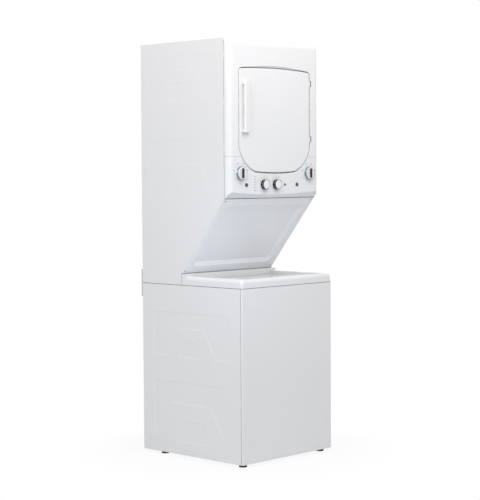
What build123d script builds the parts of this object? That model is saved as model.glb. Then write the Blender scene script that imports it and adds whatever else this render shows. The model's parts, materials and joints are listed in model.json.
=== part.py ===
import os
from math import acos, atan2, cos, degrees, hypot, radians, sin

from build123d import *

os.makedirs("parts", exist_ok=True)

# Overall size, in millimetres. X is right, the front faces -Y, Z is up from the floor.
cabinet_width = 606.0
cabinet_depth = 643.0
washer_height = 784.0
dryer_height = 1106.0
rear_reach = 45.0
sheet = 1.0
seam = 1.8
fascia_seam = 0.8
slip = 0.3
shaft_gap = 0.05

# Washer cabinet
foot_gap = 15.0
washer_edge_radius = 6.0
front_return = 1.0
base_rim = 30.0
top_reveal = 2.2

# Pressed fields in the side panels
washer_press_depth = 1.6
dryer_press_depth = 0.5
press_run = 7.0
press_corner = 14.0
washer_field_front_margin = 73.0
washer_field_rear_margin = 69.0
upper_field_drop = 334.0
lower_field_rise = 100.0
lower_dent_shift = 15.0
lower_dent_drop = 42.0
dryer_field_front_margin = 44.5
dryer_field_rear_margin = 45.0
dryer_low_rise = 6.0
dryer_high_drop = 265.0
dryer_low_dent_shift = 4.0
dryer_high_dent_shift = 10.0

# Each arched field: its height, the arch's rise, its foot and its crown as shares of the field's width.
# Each smaller dent under an arch: its height, and its foot and crown as shares of the field's width.
washer_upper_height = 209.0
washer_upper_rise = 130.0
washer_upper_foot_share = 0.648
washer_upper_crown_share = 0.33
washer_upper_dent_height = 75.0
washer_upper_dent_foot_share = 0.324
washer_upper_dent_crown_share = 0.17
washer_lower_height = 238.0
washer_lower_rise = 134.0
washer_lower_foot_share = 0.838
washer_lower_crown_share = 0.496
washer_lower_dent_height = 102.0
washer_lower_dent_foot_share = 0.474
washer_lower_dent_crown_share = 0.273
dryer_low_height = 264.0
dryer_low_arch_rise = 146.0
dryer_low_foot_share = 0.887
dryer_low_crown_share = 0.568
dryer_low_dent_height = 86.0
dryer_low_dent_foot_share = 0.523
dryer_low_dent_crown_share = 0.408
dryer_high_height = 205.0
dryer_high_arch_rise = 134.0
dryer_high_foot_share = 0.643
dryer_high_crown_share = 0.421
dryer_high_dent_height = 80.0
dryer_high_dent_foot_share = 0.368
dryer_high_dent_crown_share = 0.306

# Levelling feet
foot_inset_x = 41.0
foot_inset_front = 38.0
foot_inset_rear = 103.0
foot_pad_radius = 18.0
foot_pad_height = 10.0
foot_stem_radius = 6.0
foot_stem_length = 48.0
foot_boss_wall = 8.0
foot_boss_height = 33.0
foot_nut_flats = 19.0

# Washer deck and lid
deck_height = 39.0
deck_wall = 3.0
deck_roll = 18.0
deck_edge_radius = 14.0
deck_lip = 12.0
ledge_height = 12.0
ledge_lap = 29.4
rim_width = 41.0
well_front_margin = 22.0
well_rear_gap = 6.0
well_depth = 34.0
load_side_margin = 57.0
load_front_margin = 22.0
load_rear_margin = 20.0
load_corner = 70.0
lid_gap = 3.5
lid_height = 13.0
lid_skin = 2.0
lid_fall = 16.0
lid_front_drop = 2.0
lid_edge_radius = 4.0
lid_pin_radius = 3.0
lid_pin_back = 5.0
lid_pin_down = 6.0
lid_pin_boss = 14.0

# Tub, basket and agitator
tub_front_gap = 20.0
tub_side_gap = 41.0
tub_wall = 4.0
tub_bottom = 262.0
tub_top_gap = 49.0
tub_lip = 57.0
tub_seal_radius = 30.0
tub_flange_rise = 208.0
tub_flange_thickness = 8.0
basket_gap = 30.0
basket_wall = 2.0
basket_lift = 23.0
basket_headroom = 58.0
basket_hole_radius = 4.0
basket_hole_rows = 5
basket_hole_columns = 16
ring_width = 26.0
ring_height = 22.0
agitator_base_radius = 150.0
agitator_lift = 3.0
agitator_column_radius = 54.0
agitator_top_radius = 44.0
agitator_height = 345.0
agitator_dome = 20.0
vane_thickness = 6.0
vane_reach = 38.0
vane_count = 4

# Washer drive
shaft_radius = 12.0
agitator_shaft_radius = 10.0
agitator_shaft_length = 140.0
pulley_z = 116.0
pulley_height = 20.0
pulley_radius = 75.0
pulley_rim = 4.0
motor_pulley_radius = 22.0
motor_shaft_radius = 7.0
belt_thickness = 5.0
belt_margin = 4.5
motor_offset = 185.0
washer_motor_radius = 66.0
motor_shaft_depth = 70.0
gearcase_bottom = 150.0
gearcase_radius = 88.0
gearcase_height = 64.0
hub_radius = 45.0
support_thickness = 8.0
support_half_width = 120.0
support_front = 95.0
support_rear_margin = 9.0

# Tub suspension
rod_inset = 48.0
rod_spread = 238.0
rod_radius = 5.0
rod_bottom = 296.0
rod_cap_radius = 16.0
rod_cap_height = 6.0
rod_nut_radius = 10.0
rod_nut_height = 8.0
gusset_drop = 21.0
gusset_half = 22.0
spring_radius = 15.0
spring_bore = 8.0

# Water connections
pump_offset = 97.0
pump_forward = 145.0
pump_radius = 45.0
pump_height = 62.0
pump_stub = 12.0
hose_radius = 13.0
hose_bore = 10.0
hose_z = 222.0
hose_lane_inset = 41.0
hose_lane_back = 37.0
hose_bend = 34.0
drain_drop = 159.0
drain_reach = 26.0
drain_tail_radius = 14.5
inlet_drop = 27.0
inlet_middle_x = -120.0
inlet_spacing = 60.0
inlet_radius = 13.2
inlet_neck_radius = 12.0
inlet_reach = 24.0
tail_gap = 1.0
valve_size = (92.0, 42.0, 46.0)
spout_radius = 9.0
spout_reach = 154.0

# Stacking brackets at the back
bracket_drop = 64.0
bracket_height = 127.0
bracket_width = 60.0
bracket_depth = 11.0
bracket_inset = 3.0

# Dryer cabinet
dryer_setback = 73.5
dryer_edge_radius = 28.0
dryer_top_roll = 26.0
dryer_foot_depth = 261.6
slope_bottom_rise = 52.6
slope_top_drop = 711.0
slope_press_margin = 40.0
slope_press_depth = 14.0
slope_press_angle = 50.0
slope_press_corner = 30.0
top_flange = 12.0
clip_reach = 10.0
clip_height = 24.0
clip_drops = (84.0, 290.0, 500.0)

# Control panel
panel_top_drop = 524.0
panel_height = 156.0
panel_sag = 14.0
panel_wall = 2.5
underside_lift = 3.75

# Dryer door
door_inset = 67.0
door_shoulder_drop = 133.0
door_crown = 8.0
door_cheek_height = 107.0
door_cheek_width = 103.0
door_height = 456.0
door_chin_sag = 6.0
door_cheek_bulge = 20.0
door_corner = 18.0
door_chin_corner = 16.0
door_gap = 5.0
door_proud = 0.5
door_depth = 20.5
door_skin = 1.5
door_edge_radius = 4.0
recess_depth = 24.0
relief_rise = 16.0
relief_depth = 11.0
relief_angle = 45.0
relief_inset = 12.0
opening_inset = 36.0
opening_height = 347.0
opening_drop = 37.0
opening_corner = 90.0
plug_gap = 8.0
plug_depth = 10.0
inner_plate = 2.0
gasket_margin = 6.0
gasket_width = 10.0
gasket_clear = 0.2

# Door hinges, handle and catch
hinge_outset = 9.0
hinge_back = 5.0
hinge_drop = 51.0
hinge_spacing = 256.0
hinge_pin_radius = 1.8
hinge_eye_radius = 3.3
hinge_arm_half = 12.0
hinge_arm_thickness = 4.0
hinge_arm_root = 21.0
hinge_room = 1.0
hinge_ear = 8.0
hinge_web = 4.0
hinge_bracket_side = 5.5
hinge_swing_room = 4.8
handle_rise = 66.0
handle_height = 226.0
handle_inset = 15.0
handle_width = 70.0
handle_reach = 22.0
handle_end_width = 42.0
handle_overrun = 5.0
handle_crest_share = 0.62
handle_crest_drop = 0.38
grip_depth = 9.0
grip_height = 14.0
grip_margin = 14.0
grip_skin = 4.0
strike_inset = 14.0
strike_drop = 20.0
strike_reach = 14.0
strike_half = 10.0
strike_thickness = 3.0
catch_room = 3.0
catch_wall = 6.0

# Dryer drum
drum_drop = 325.0
drum_side_gap = 41.0
drum_wall = 1.0
drum_front_gap = 23.0
drum_back_gap = 6.0
drum_shaft_radius = 12.7
drum_shaft_length = 32.0
baffle_height = 55.0
baffle_half_width = 32.0
baffle_count = 3
baffle_margin = 20.0
baffle_wall = 1.5
bulkhead_gap = 33.5
bulkhead_drop = 318.0
bulkhead_top_gap = 20.0
collar_gap = 0.5
collar_wall = 2.5
collar_overlap = 20.0
rear_bulkhead_gap = 37.0
bearing_radius = 24.0
bearing_length = 26.0
heater_inset = 63.0
heater_width = 170.0
heater_drop = 180.0
heater_height = 160.0
heater_depth = 30.0
heater_rod_radius = 4.5
heater_rod_shares = (0.25, 0.5, 0.75)

# Dryer drive and air path
dryer_base_rise = 81.0
dryer_base_lap = 3.4
dryer_base_rim = 20.0
motor_x = 110.0
motor_rise = 180.0
dryer_motor_radius = 62.0
dryer_motor_length = 126.0
dryer_motor_gap = 26.0
dryer_shaft_radius = 6.0
cradle_thickness = 5.0
cradle_margin = 15.0
cradle_half_width = 92.0
cradle_top_rise = 18.0
dryer_pulley_radius = 14.0
dryer_pulley_rim = 3.0
drum_belt_gap_back = 32.0
drum_belt_width = 10.0
drum_belt_thickness = 2.2
drum_belt_gap = 0.4
idler_radius = 22.0
idler_share = 0.6
idler_pin_radius = 4.0
idler_arm_thickness = 5.0
idler_arm_width = 22.0
idler_pivot_offset = 76.0
idler_pivot_rise = 4.0
idler_pivot_radius = 5.0
blower_radius = 85.0
blower_gap = 7.0
blower_depth = 40.0
blower_blades = 18
blade_share = 0.7
housing_radius = 106.0
housing_gap = 67.0
housing_depth = 57.0
housing_wall = 2.0
inlet_hole_radius = 58.0
exhaust_x = -62.0
exhaust_radius = 49.0
exhaust_collar_radius = 50.5
exhaust_wall = 1.0
exhaust_drop = 54.0
duct_half_width = 160.0
duct_front_gap = 1.5
duct_foot_rise = 21.0
duct_knee_rise = 15.0
duct_mouth_low = 65.0
duct_mouth_high = 65.0
filter_thickness = 10.0
filter_depth = 160.0
filter_rise = 6.0
filter_lip_half = 7.0
filter_lip_height = 4.0
filter_screen = 1.0

# Controls, on the control panel's face
cycle_knob_inset = 74.0
cycle_knob_rise = 82.0
cycle_knob_radius = 28.5
cycle_knob_height = 14.0
cycle_grip_height = 12.0
cycle_grip_width = 13.0
load_knob_x = -76.0
temperature_knob_x = 4.0
small_knob_rise = 31.0
small_knob_radius = 21.0
small_knob_height = 18.0
small_grip_height = 3.0
small_grip_width = 6.0
knob_edge_radius = 3.0
grip_end_margin = 4.5
knob_shaft_radius = 3.0
knob_shaft_length = 20.0
washer_button_inset = 111.0
dryer_button_inset = 156.0
button_rise = 29.5
button_radius = 7.5
button_height = 4.0
button_edge_radius = 0.75
button_travel = 2.5
button_stem_radius = 4.0
button_stem_length = 18.0
lamp_x = 64.0
lamp_radius = 5.0
light_inset = 165.0
light_rise = 5.0
light_pitch = 12.5
light_count = 6
light_radius = 2.0
light_proud = 0.6
timer_size = (58.0, 48.0, 58.0)
selector_size = (40.0, 22.0, 40.0)
push_size = (24.0, 18.0, 24.0)

# Terminal box and screws on the back
terminal_inset = 103.0
terminal_drop = 8.0
terminal_width = 100.0
terminal_depth = 32.0
terminal_height = 84.0
cord_radius = 11.0
screw_radius = 4.5
screw_head = 2.4
screw_shank_radius = 2.0
screw_shank_length = 8.0
screw_edge = 14.0
rear_screw_rise = 70.0
rear_screw_drop = 28.0
top_screw_front = 84.0
top_screw_rear = 28.0
louver_count = 9
louver_length = 150.0
louver_height = 6.0
louver_pitch = 16.0
louver_drop = 105.0

# Derived places across the width
half_width = cabinet_width / 2
inner_half = half_width - sheet
rod_x = half_width - rod_inset
hose_lane_x = half_width - hose_lane_inset
pump_x = hose_lane_x - pump_offset
door_half_width = half_width - door_inset
door_chin_half = door_half_width - door_cheek_width
opening_half_width = door_half_width - opening_inset
hinge_x = door_half_width + hinge_outset
handle_left_x = handle_inset - door_half_width
heater_x = half_width - heater_inset - heater_width
strike_x = strike_inset - door_half_width
drum_radius = half_width - drum_side_gap
cycle_knob_x = half_width - cycle_knob_inset
washer_button_x = washer_button_inset - half_width
dryer_button_x = half_width - dryer_button_inset
light_x = light_inset - half_width
terminal_x = half_width - terminal_inset
idler_pivot_x = motor_x - idler_pivot_offset

# Derived places from front to back
front_y = -(cabinet_depth + rear_reach) / 2
back_y = front_y + cabinet_depth
inner_back = back_y - sheet
washer_seam_y = front_y + washer_edge_radius + front_return
tub_radius = half_width - tub_side_gap
tub_y = front_y + tub_front_gap + tub_radius
pump_y = tub_y - pump_forward
spout_end_y = tub_y + spout_reach
hose_lane_y = back_y - hose_lane_back
dryer_foot_y = back_y - dryer_foot_depth
ledge_front_y = dryer_foot_y - ledge_lap
dryer_base_front = dryer_foot_y - dryer_base_lap
dryer_front_y = front_y + dryer_setback
dryer_seam_y = dryer_front_y + dryer_edge_radius + front_return
door_face_y = dryer_front_y - door_proud
door_back_y = door_face_y + door_depth
door_plate_y = door_back_y + inner_plate
recess_floor_y = dryer_front_y + recess_depth
recess_back_y = recess_floor_y + sheet
hinge_y = dryer_front_y + hinge_back
bulkhead_y = recess_floor_y + bulkhead_gap
drum_front_y = bulkhead_y + drum_front_gap
rear_bulkhead_y = back_y - rear_bulkhead_gap
drum_back_y = rear_bulkhead_y - drum_back_gap
drum_belt_y = drum_back_y - drum_belt_gap_back
dryer_motor_back = drum_belt_y - dryer_motor_gap
dryer_motor_front = dryer_motor_back - dryer_motor_length
housing_front = dryer_motor_front - housing_gap
blower_front = housing_front + blower_gap

# Derived heights
washer_top = foot_gap + washer_height
overall_height = washer_top + dryer_height
deck_top = washer_top + deck_height
ledge_top = deck_top + ledge_height
tub_top = washer_top - tub_top_gap
tub_flange_z = tub_bottom + tub_flange_rise
basket_height = tub_top - tub_bottom - basket_headroom
drain_z = washer_top - drain_drop
inlet_z = washer_top - inlet_drop
bracket_bottom = washer_top - bracket_drop
slope_bottom_z = washer_top + slope_bottom_rise
slope_top_z = overall_height - slope_top_drop
panel_top_z = overall_height - panel_top_drop
panel_bottom_z = panel_top_z - panel_height
door_shoulder_z = overall_height - door_shoulder_drop
door_chin_z = door_shoulder_z - door_height
door_waist_z = door_chin_z + door_cheek_height
opening_top_z = door_shoulder_z - opening_drop
opening_bottom_z = opening_top_z - opening_height
hinge_upper_z = door_shoulder_z - hinge_drop
hinge_lower_z = hinge_upper_z - hinge_spacing
handle_bottom_z = door_waist_z + handle_rise
drum_z = overall_height - drum_drop
strike_z = drum_z - strike_drop
bulkhead_bottom_z = drum_z - bulkhead_drop
heater_z = drum_z - heater_drop
dryer_base_z = washer_top + dryer_base_rise
motor_z = dryer_base_z + motor_rise
idler_pivot_z = motor_z + idler_pivot_rise
duct_foot_z = slope_top_z + duct_foot_rise
duct_knee_z = duct_foot_z + duct_knee_rise
cycle_knob_z = panel_bottom_z + cycle_knob_rise
small_knob_z = panel_bottom_z + small_knob_rise
button_z = panel_bottom_z + button_rise
light_low_z = panel_bottom_z + light_rise
terminal_z = motor_z - terminal_drop
louver_top_z = overall_height - louver_drop
slope_length = hypot(dryer_foot_y - dryer_seam_y, slope_top_z - slope_bottom_z)
slope_angle = degrees(atan2(slope_top_z - slope_bottom_z, dryer_foot_y - dryer_seam_y))

left_plane = Plane(origin=(-half_width, 0, 0), x_dir=(0, 1, 0), z_dir=(1, 0, 0))


# A plane that faces the front at depth y, whose own axes are X and Z.
def face_plane(y):
    return Plane(origin=(0, y, 0), x_dir=(1, 0, 0), z_dir=(0, -1, 0))


# A plane across X at x, whose own axes are Y and Z.
def side_plane(x):
    return Plane(origin=(x, 0, 0), x_dir=(0, 1, 0), z_dir=(1, 0, 0))


def span_box(x0, x1, y0, y1, z0, z1, mode=Mode.ADD):
    with BuildSketch(Plane.XY.offset(z0)) as section:
        with Locations(((x0 + x1) / 2, (y0 + y1) / 2)):
            Rectangle(x1 - x0, y1 - y0)
    extrude(section.sketch, amount=z1 - z0, mode=mode)


def bar_z(x, y, radius, z0, z1, mode=Mode.ADD):
    with BuildSketch(Plane.XY.offset(z0)) as section:
        with Locations((x, y)):
            Circle(radius)
    extrude(section.sketch, amount=z1 - z0, mode=mode)


def bar_y(x, z, radius, y0, y1, mode=Mode.ADD):
    with BuildSketch(face_plane(y0)) as section:
        with Locations((x, z)):
            Circle(radius)
    extrude(section.sketch, amount=y0 - y1, mode=mode)


def bar_x(y, z, radius, x0, x1, mode=Mode.ADD):
    with BuildSketch(side_plane(x0)) as section:
        with Locations((y, z)):
            Circle(radius)
    extrude(section.sketch, amount=x1 - x0, mode=mode)


# A field pressed into a left side panel: the dent outside and its bulge inside.
def press(points, depth):
    for plane, mode in ((left_plane.offset(sheet), Mode.ADD), (left_plane, Mode.SUBTRACT)):
        with BuildSketch(plane) as field:
            with BuildLine():
                Polyline(*points, close=True)
            make_face()
            fillet(field.vertices(), press_corner)
        extrude(field.sketch, amount=depth, taper=degrees(atan2(press_run, depth)), mode=mode)


# Corners of a field whose lower edge climbs round an arch, as (Y, Z).
def arched_field(rear, front, bottom, height, rise, foot_share, crown_share):
    middle = (rear + front) / 2
    foot = foot_share * (rear - front) / 2
    crown = crown_share * (rear - front) / 2
    return [
        (rear, bottom + height),
        (front, bottom + height),
        (front, bottom),
        (middle - foot, bottom),
        (middle - crown, bottom + rise),
        (middle + crown, bottom + rise),
        (middle + foot, bottom),
        (rear, bottom),
    ]


# Corners of a dent that narrows upward, as (Y, Z).
def tapered_dent(rear, front, shift, bottom, height, foot_share, crown_share):
    middle = (rear + front) / 2 + shift
    foot = foot_share * (rear - front) / 2
    crown = crown_share * (rear - front) / 2
    return [
        (middle + foot, bottom),
        (middle + crown, bottom + height),
        (middle - crown, bottom + height),
        (middle - foot, bottom),
    ]


# The outline of a front whose two vertical edges are rolled, as (X, Y), with its back left open.
def rolled_front(half, face, back, radius):
    with BuildLine() as outline:
        Polyline((-half, face + radius), (-half, back), (half, back), (half, face + radius))
        RadiusArc((half, face + radius), (half - radius, face), radius)
        Line((half - radius, face), (-half + radius, face))
        RadiusArc((-half + radius, face), (-half, face + radius), radius)
    make_face(outline.edges())


# Washer side panels
washer_field_front = washer_seam_y + washer_field_front_margin
washer_field_rear = back_y - washer_field_rear_margin
washer_field = (washer_field_rear, washer_field_front)
upper_field_bottom = washer_top - upper_field_drop
lower_field_bottom = foot_gap + lower_field_rise
lower_dent_bottom = lower_field_bottom - lower_dent_drop
gusset_z = washer_top - gusset_drop
wall_height = washer_top - top_reveal - foot_gap

with BuildPart() as washer_side_left:
    with BuildSketch(left_plane):
        with Locations(((washer_seam_y + seam + back_y) / 2, foot_gap + wall_height / 2)):
            Rectangle(back_y - washer_seam_y - seam, wall_height)
    extrude(amount=sheet)
    press(
        arched_field(
            *washer_field,
            upper_field_bottom,
            washer_upper_height,
            washer_upper_rise,
            washer_upper_foot_share,
            washer_upper_crown_share,
        ),
        washer_press_depth,
    )
    press(
        tapered_dent(
            *washer_field,
            0,
            upper_field_bottom,
            washer_upper_dent_height,
            washer_upper_dent_foot_share,
            washer_upper_dent_crown_share,
        ),
        washer_press_depth,
    )
    press(
        arched_field(
            *washer_field,
            lower_field_bottom,
            washer_lower_height,
            washer_lower_rise,
            washer_lower_foot_share,
            washer_lower_crown_share,
        ),
        washer_press_depth,
    )
    press(
        tapered_dent(
            *washer_field,
            -lower_dent_shift,
            lower_dent_bottom,
            washer_lower_dent_height,
            washer_lower_dent_foot_share,
            washer_lower_dent_crown_share,
        ),
        washer_press_depth,
    )
    for place in (tub_y - rod_spread, tub_y + rod_spread):
        span_box(
            -inner_half,
            -rod_x + gusset_half,
            place - gusset_half,
            place + gusset_half,
            gusset_z - sheet,
            gusset_z,
        )
        bar_z(-rod_x, place, rod_radius + slip, gusset_z - sheet, gusset_z, Mode.SUBTRACT)
washer_side_left.part.label = "washer_side_left"
export_step(washer_side_left.part, "parts/washer_side_left.step")

with BuildPart() as washer_side_right:
    mirror(washer_side_left.part, about=Plane.YZ)
washer_side_right.part.label = "washer_side_right"
export_step(washer_side_right.part, "parts/washer_side_right.step")

# Washer front panel
with BuildPart() as washer_front_panel:
    with BuildSketch(Plane.XY.offset(foot_gap)):
        rolled_front(half_width, front_y, washer_seam_y, washer_edge_radius)
    extrude(amount=wall_height)
    with BuildSketch(Plane.XY.offset(foot_gap)):
        rolled_front(inner_half, front_y + sheet, washer_seam_y, washer_edge_radius - sheet)
    extrude(amount=wall_height, mode=Mode.SUBTRACT)
washer_front_panel.part.label = "washer_front_panel"
export_step(washer_front_panel.part, "parts/washer_front_panel.step")

# Washer base tray with the threaded bosses of the feet
foot_x = half_width - foot_inset_x
foot_places = [
    (x, y) for x in (-foot_x, foot_x) for y in (front_y + foot_inset_front, back_y - foot_inset_rear)
]

with BuildPart() as washer_base:
    with BuildSketch(Plane.XY.offset(foot_gap)):
        rolled_front(inner_half, front_y + sheet, inner_back, washer_edge_radius - sheet)
    extrude(amount=base_rim)
    with BuildSketch(Plane.XY.offset(foot_gap + sheet)):
        rolled_front(
            inner_half - sheet,
            front_y + 2 * sheet,
            inner_back - sheet,
            washer_edge_radius - 2 * sheet,
        )
    extrude(amount=base_rim, mode=Mode.SUBTRACT)
    for x, y in foot_places:
        bar_z(x, y, foot_stem_radius + foot_boss_wall, foot_gap, foot_gap + foot_boss_height)
        bar_z(x, y, foot_stem_radius + shaft_gap, foot_gap, foot_gap + foot_boss_height, Mode.SUBTRACT)
washer_base.part.label = "washer_base"
export_step(washer_base.part, "parts/washer_base.step")

with BuildPart() as leveling_feet:
    for x, y in foot_places:
        bar_z(x, y, foot_pad_radius, 0, foot_pad_height)
        with BuildSketch(Plane.XY.offset(foot_pad_height)):
            with Locations((x, y)):
                RegularPolygon(foot_nut_flats / 2, 6, major_radius=False)
        extrude(amount=foot_gap - slip - foot_pad_height)
        bar_z(x, y, foot_stem_radius, foot_pad_height, foot_pad_height + foot_stem_length)
leveling_feet.part.label = "leveling_feet"
export_step(leveling_feet.part, "parts/leveling_feet.step")

# Washer rear panel with the two stacking brackets
inlet_xs = (inlet_middle_x - inlet_spacing / 2, inlet_middle_x + inlet_spacing / 2)

with BuildPart() as washer_rear_panel:
    span_box(-inner_half, inner_half, inner_back, back_y, foot_gap, washer_top)
    for side in (-1, 1):
        outer_x = side * (half_width - bracket_inset)
        inner_x = side * (half_width - bracket_inset - bracket_width)
        low_x = min(outer_x, inner_x)
        high_x = max(outer_x, inner_x)
        span_box(
            low_x,
            high_x,
            back_y,
            back_y + bracket_depth,
            bracket_bottom,
            bracket_bottom + bracket_height,
        )
        span_box(
            low_x + sheet,
            high_x - sheet,
            back_y,
            back_y + bracket_depth - sheet,
            bracket_bottom + sheet,
            bracket_bottom + bracket_height - sheet,
            Mode.SUBTRACT,
        )
    for x in inlet_xs:
        bar_y(x, inlet_z, inlet_neck_radius + slip, inner_back, back_y, Mode.SUBTRACT)
    bar_y(hose_lane_x, drain_z, hose_radius + slip, inner_back, back_y, Mode.SUBTRACT)
washer_rear_panel.part.label = "washer_rear_panel"
export_step(washer_rear_panel.part, "parts/washer_rear_panel.step")

# Washer deck with the lid well
well_half = half_width - rim_width
well_front_y = front_y + well_front_margin
well_rear_y = ledge_front_y
well_floor_z = deck_top - well_depth
lid_half = well_half - lid_gap
lid_front_y = well_front_y + lid_gap
lid_rear_y = well_rear_y - well_rear_gap
lid_angle = degrees(atan2(lid_fall, lid_rear_y - lid_front_y))
lid_rear_z = deck_top - lid_front_drop - lid_fall
lid_length = hypot(lid_rear_y - lid_front_y, lid_fall)
lid_plane = Plane(
    origin=(0, lid_rear_y, lid_rear_z),
    x_dir=(1, 0, 0),
    z_dir=(0, sin(radians(lid_angle)), cos(radians(lid_angle))),
)
lid_pin_y = lid_rear_y - lid_pin_back * cos(radians(lid_angle)) - lid_pin_down * sin(radians(lid_angle))
lid_pin_z = lid_rear_z + lid_pin_back * sin(radians(lid_angle)) - lid_pin_down * cos(radians(lid_angle))

with BuildPart() as deck_core:
    with BuildSketch(Plane.XY.offset(washer_top)):
        rolled_front(
            half_width - deck_wall,
            front_y + deck_wall,
            dryer_foot_y - seam - deck_wall,
            deck_edge_radius - deck_wall,
        )
    extrude(amount=deck_height - deck_wall)
    fillet(deck_core.faces().sort_by(Axis.Z)[-1].edges().sort_by(Axis.Y)[:3], deck_roll - deck_wall)
    span_box(
        -inner_half + deck_wall,
        inner_half - deck_wall,
        ledge_front_y,
        inner_back - deck_wall,
        washer_top,
        deck_top - deck_wall,
    )

with BuildPart() as washer_deck:
    with BuildSketch(Plane.XY.offset(washer_top)):
        rolled_front(half_width, front_y, dryer_foot_y - seam, deck_edge_radius)
    extrude(amount=deck_height)
    fillet(washer_deck.faces().sort_by(Axis.Z)[-1].edges().sort_by(Axis.Y)[:3], deck_roll)
    span_box(-inner_half, inner_half, dryer_foot_y - seam, inner_back, washer_top, deck_top)
    add(deck_core.part, mode=Mode.SUBTRACT)
    span_box(-half_width, half_width, ledge_front_y, dryer_foot_y - seam, washer_top, ledge_top)
    span_box(-inner_half, inner_half, dryer_foot_y - seam, inner_back, washer_top, ledge_top)
    span_box(
        -inner_half + deck_wall,
        inner_half - deck_wall,
        ledge_front_y + deck_wall,
        inner_back - deck_wall,
        washer_top,
        ledge_top - deck_wall,
        Mode.SUBTRACT,
    )
    span_box(
        -well_half - deck_wall,
        well_half + deck_wall,
        well_front_y - deck_wall,
        well_rear_y + deck_wall,
        well_floor_z - deck_wall,
        deck_top,
    )
    span_box(-well_half, well_half, well_front_y, well_rear_y, well_floor_z, deck_top, Mode.SUBTRACT)
    with BuildSketch(Plane.XY.offset(washer_top - deck_lip)):
        rolled_front(inner_half, front_y + sheet, inner_back, washer_edge_radius - sheet)
    extrude(amount=deck_lip)
    with BuildSketch(Plane.XY.offset(washer_top - deck_lip)):
        rolled_front(
            inner_half - deck_wall,
            front_y + sheet + deck_wall,
            inner_back,
            washer_edge_radius - sheet - deck_wall,
        )
    extrude(amount=deck_lip, mode=Mode.SUBTRACT)
    with BuildSketch(Plane.XY.offset(well_floor_z - deck_wall)):
        load_front_y = well_front_y + load_front_margin
        load_rear_y = well_rear_y - load_rear_margin
        with Locations((0, (load_front_y + load_rear_y) / 2)):
            RectangleRounded(2 * (well_half - load_side_margin), load_rear_y - load_front_y, load_corner)
    extrude(amount=deck_wall, mode=Mode.SUBTRACT)
    bar_x(
        lid_pin_y,
        lid_pin_z,
        lid_pin_radius + shaft_gap,
        -well_half - deck_wall,
        well_half + deck_wall,
        Mode.SUBTRACT,
    )
washer_deck.part.label = "washer_deck"
export_step(washer_deck.part, "parts/washer_deck.step")

# Washer lid, a shallow pan that falls towards its hinge pins
with BuildPart() as washer_lid:
    with BuildSketch(lid_plane):
        with Locations((0, -lid_length / 2)):
            RectangleRounded(2 * lid_half, lid_length, lid_edge_radius)
    extrude(amount=-lid_height)
    fillet(washer_lid.faces().sort_by(Axis.Z)[-1].edges(), lid_edge_radius - lid_skin)
    with BuildSketch(lid_plane.offset(-lid_skin)):
        with Locations((0, -lid_length / 2)):
            Rectangle(2 * (lid_half - lid_skin), lid_length - 2 * lid_skin)
    extrude(amount=-lid_height, mode=Mode.SUBTRACT)
    for side in (-1, 1):
        pin_root = side * (lid_half - lid_pin_boss)
        pin_tip = side * (well_half + deck_wall)
        bar_x(lid_pin_y, lid_pin_z, lid_pin_radius, pin_root, pin_tip)
washer_lid.part.label = "washer_lid"
export_step(washer_lid.part, "parts/washer_lid.step")

# Outer tub with its top ring and suspension flange
tub_axis = Axis((0, tub_y, 0), (0, 0, 1))
tub_plane = Plane(origin=(0, tub_y, 0), x_dir=(1, 0, 0), z_dir=(0, -1, 0))
tub_mouth_radius = tub_radius - tub_lip
rod_places = [(x, tub_y + dy) for x in (-rod_x, rod_x) for dy in (-rod_spread, rod_spread)]

with BuildPart() as outer_tub:
    with BuildSketch(tub_plane):
        with BuildLine():
            Polyline(
                (tub_seal_radius, tub_bottom),
                (tub_radius, tub_bottom),
                (tub_radius, tub_top),
                (tub_mouth_radius, tub_top),
                (tub_mouth_radius, tub_top - tub_wall),
                (tub_radius - tub_wall, tub_top - tub_wall),
                (tub_radius - tub_wall, tub_bottom + tub_wall),
                (tub_seal_radius, tub_bottom + tub_wall),
                close=True,
            )
        make_face()
    revolve(axis=tub_axis)
    with BuildSketch(Plane.XY.offset(tub_flange_z)):
        with Locations((0, tub_y)):
            RectangleRounded(2 * (rod_x + gusset_half), 2 * (rod_spread + gusset_half), gusset_half)
            Circle(tub_radius - tub_wall / 2, mode=Mode.SUBTRACT)
        with Locations(*rod_places):
            Circle(spring_bore, mode=Mode.SUBTRACT)
    extrude(amount=tub_flange_thickness)
outer_tub.part.label = "outer_tub"
export_step(outer_tub.part, "parts/outer_tub.step")

# Basket with rows of drain holes, and the balance ring on its rim
basket_radius = tub_radius - basket_gap
basket_bottom = tub_bottom + basket_lift
basket_top = basket_bottom + basket_height
basket_floor = basket_bottom + basket_wall

with BuildPart() as wash_basket:
    with BuildSketch(tub_plane):
        with BuildLine():
            Polyline(
                (agitator_shaft_radius + shaft_gap, basket_bottom),
                (basket_radius + basket_wall, basket_bottom),
                (basket_radius + basket_wall, basket_top),
                (basket_radius, basket_top),
                (basket_radius, basket_floor),
                (agitator_shaft_radius + shaft_gap, basket_floor),
                close=True,
            )
        make_face()
    revolve(axis=tub_axis)
    row_pitch = basket_height / (basket_hole_rows + 1)
    for column in range(basket_hole_columns):
        angle = radians(360 * (column + 0.5) / basket_hole_columns)
        radial = Plane(
            origin=(0, tub_y, 0),
            x_dir=(-sin(angle), cos(angle), 0),
            z_dir=(cos(angle), sin(angle), 0),
        )
        with BuildSketch(radial.offset(basket_radius - basket_wall)):
            with Locations(
                *[(0, basket_bottom + row_pitch * (row + 1)) for row in range(basket_hole_rows)]
            ):
                Circle(basket_hole_radius)
        extrude(amount=3 * basket_wall, mode=Mode.SUBTRACT)
wash_basket.part.label = "wash_basket"
export_step(wash_basket.part, "parts/wash_basket.step")

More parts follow.
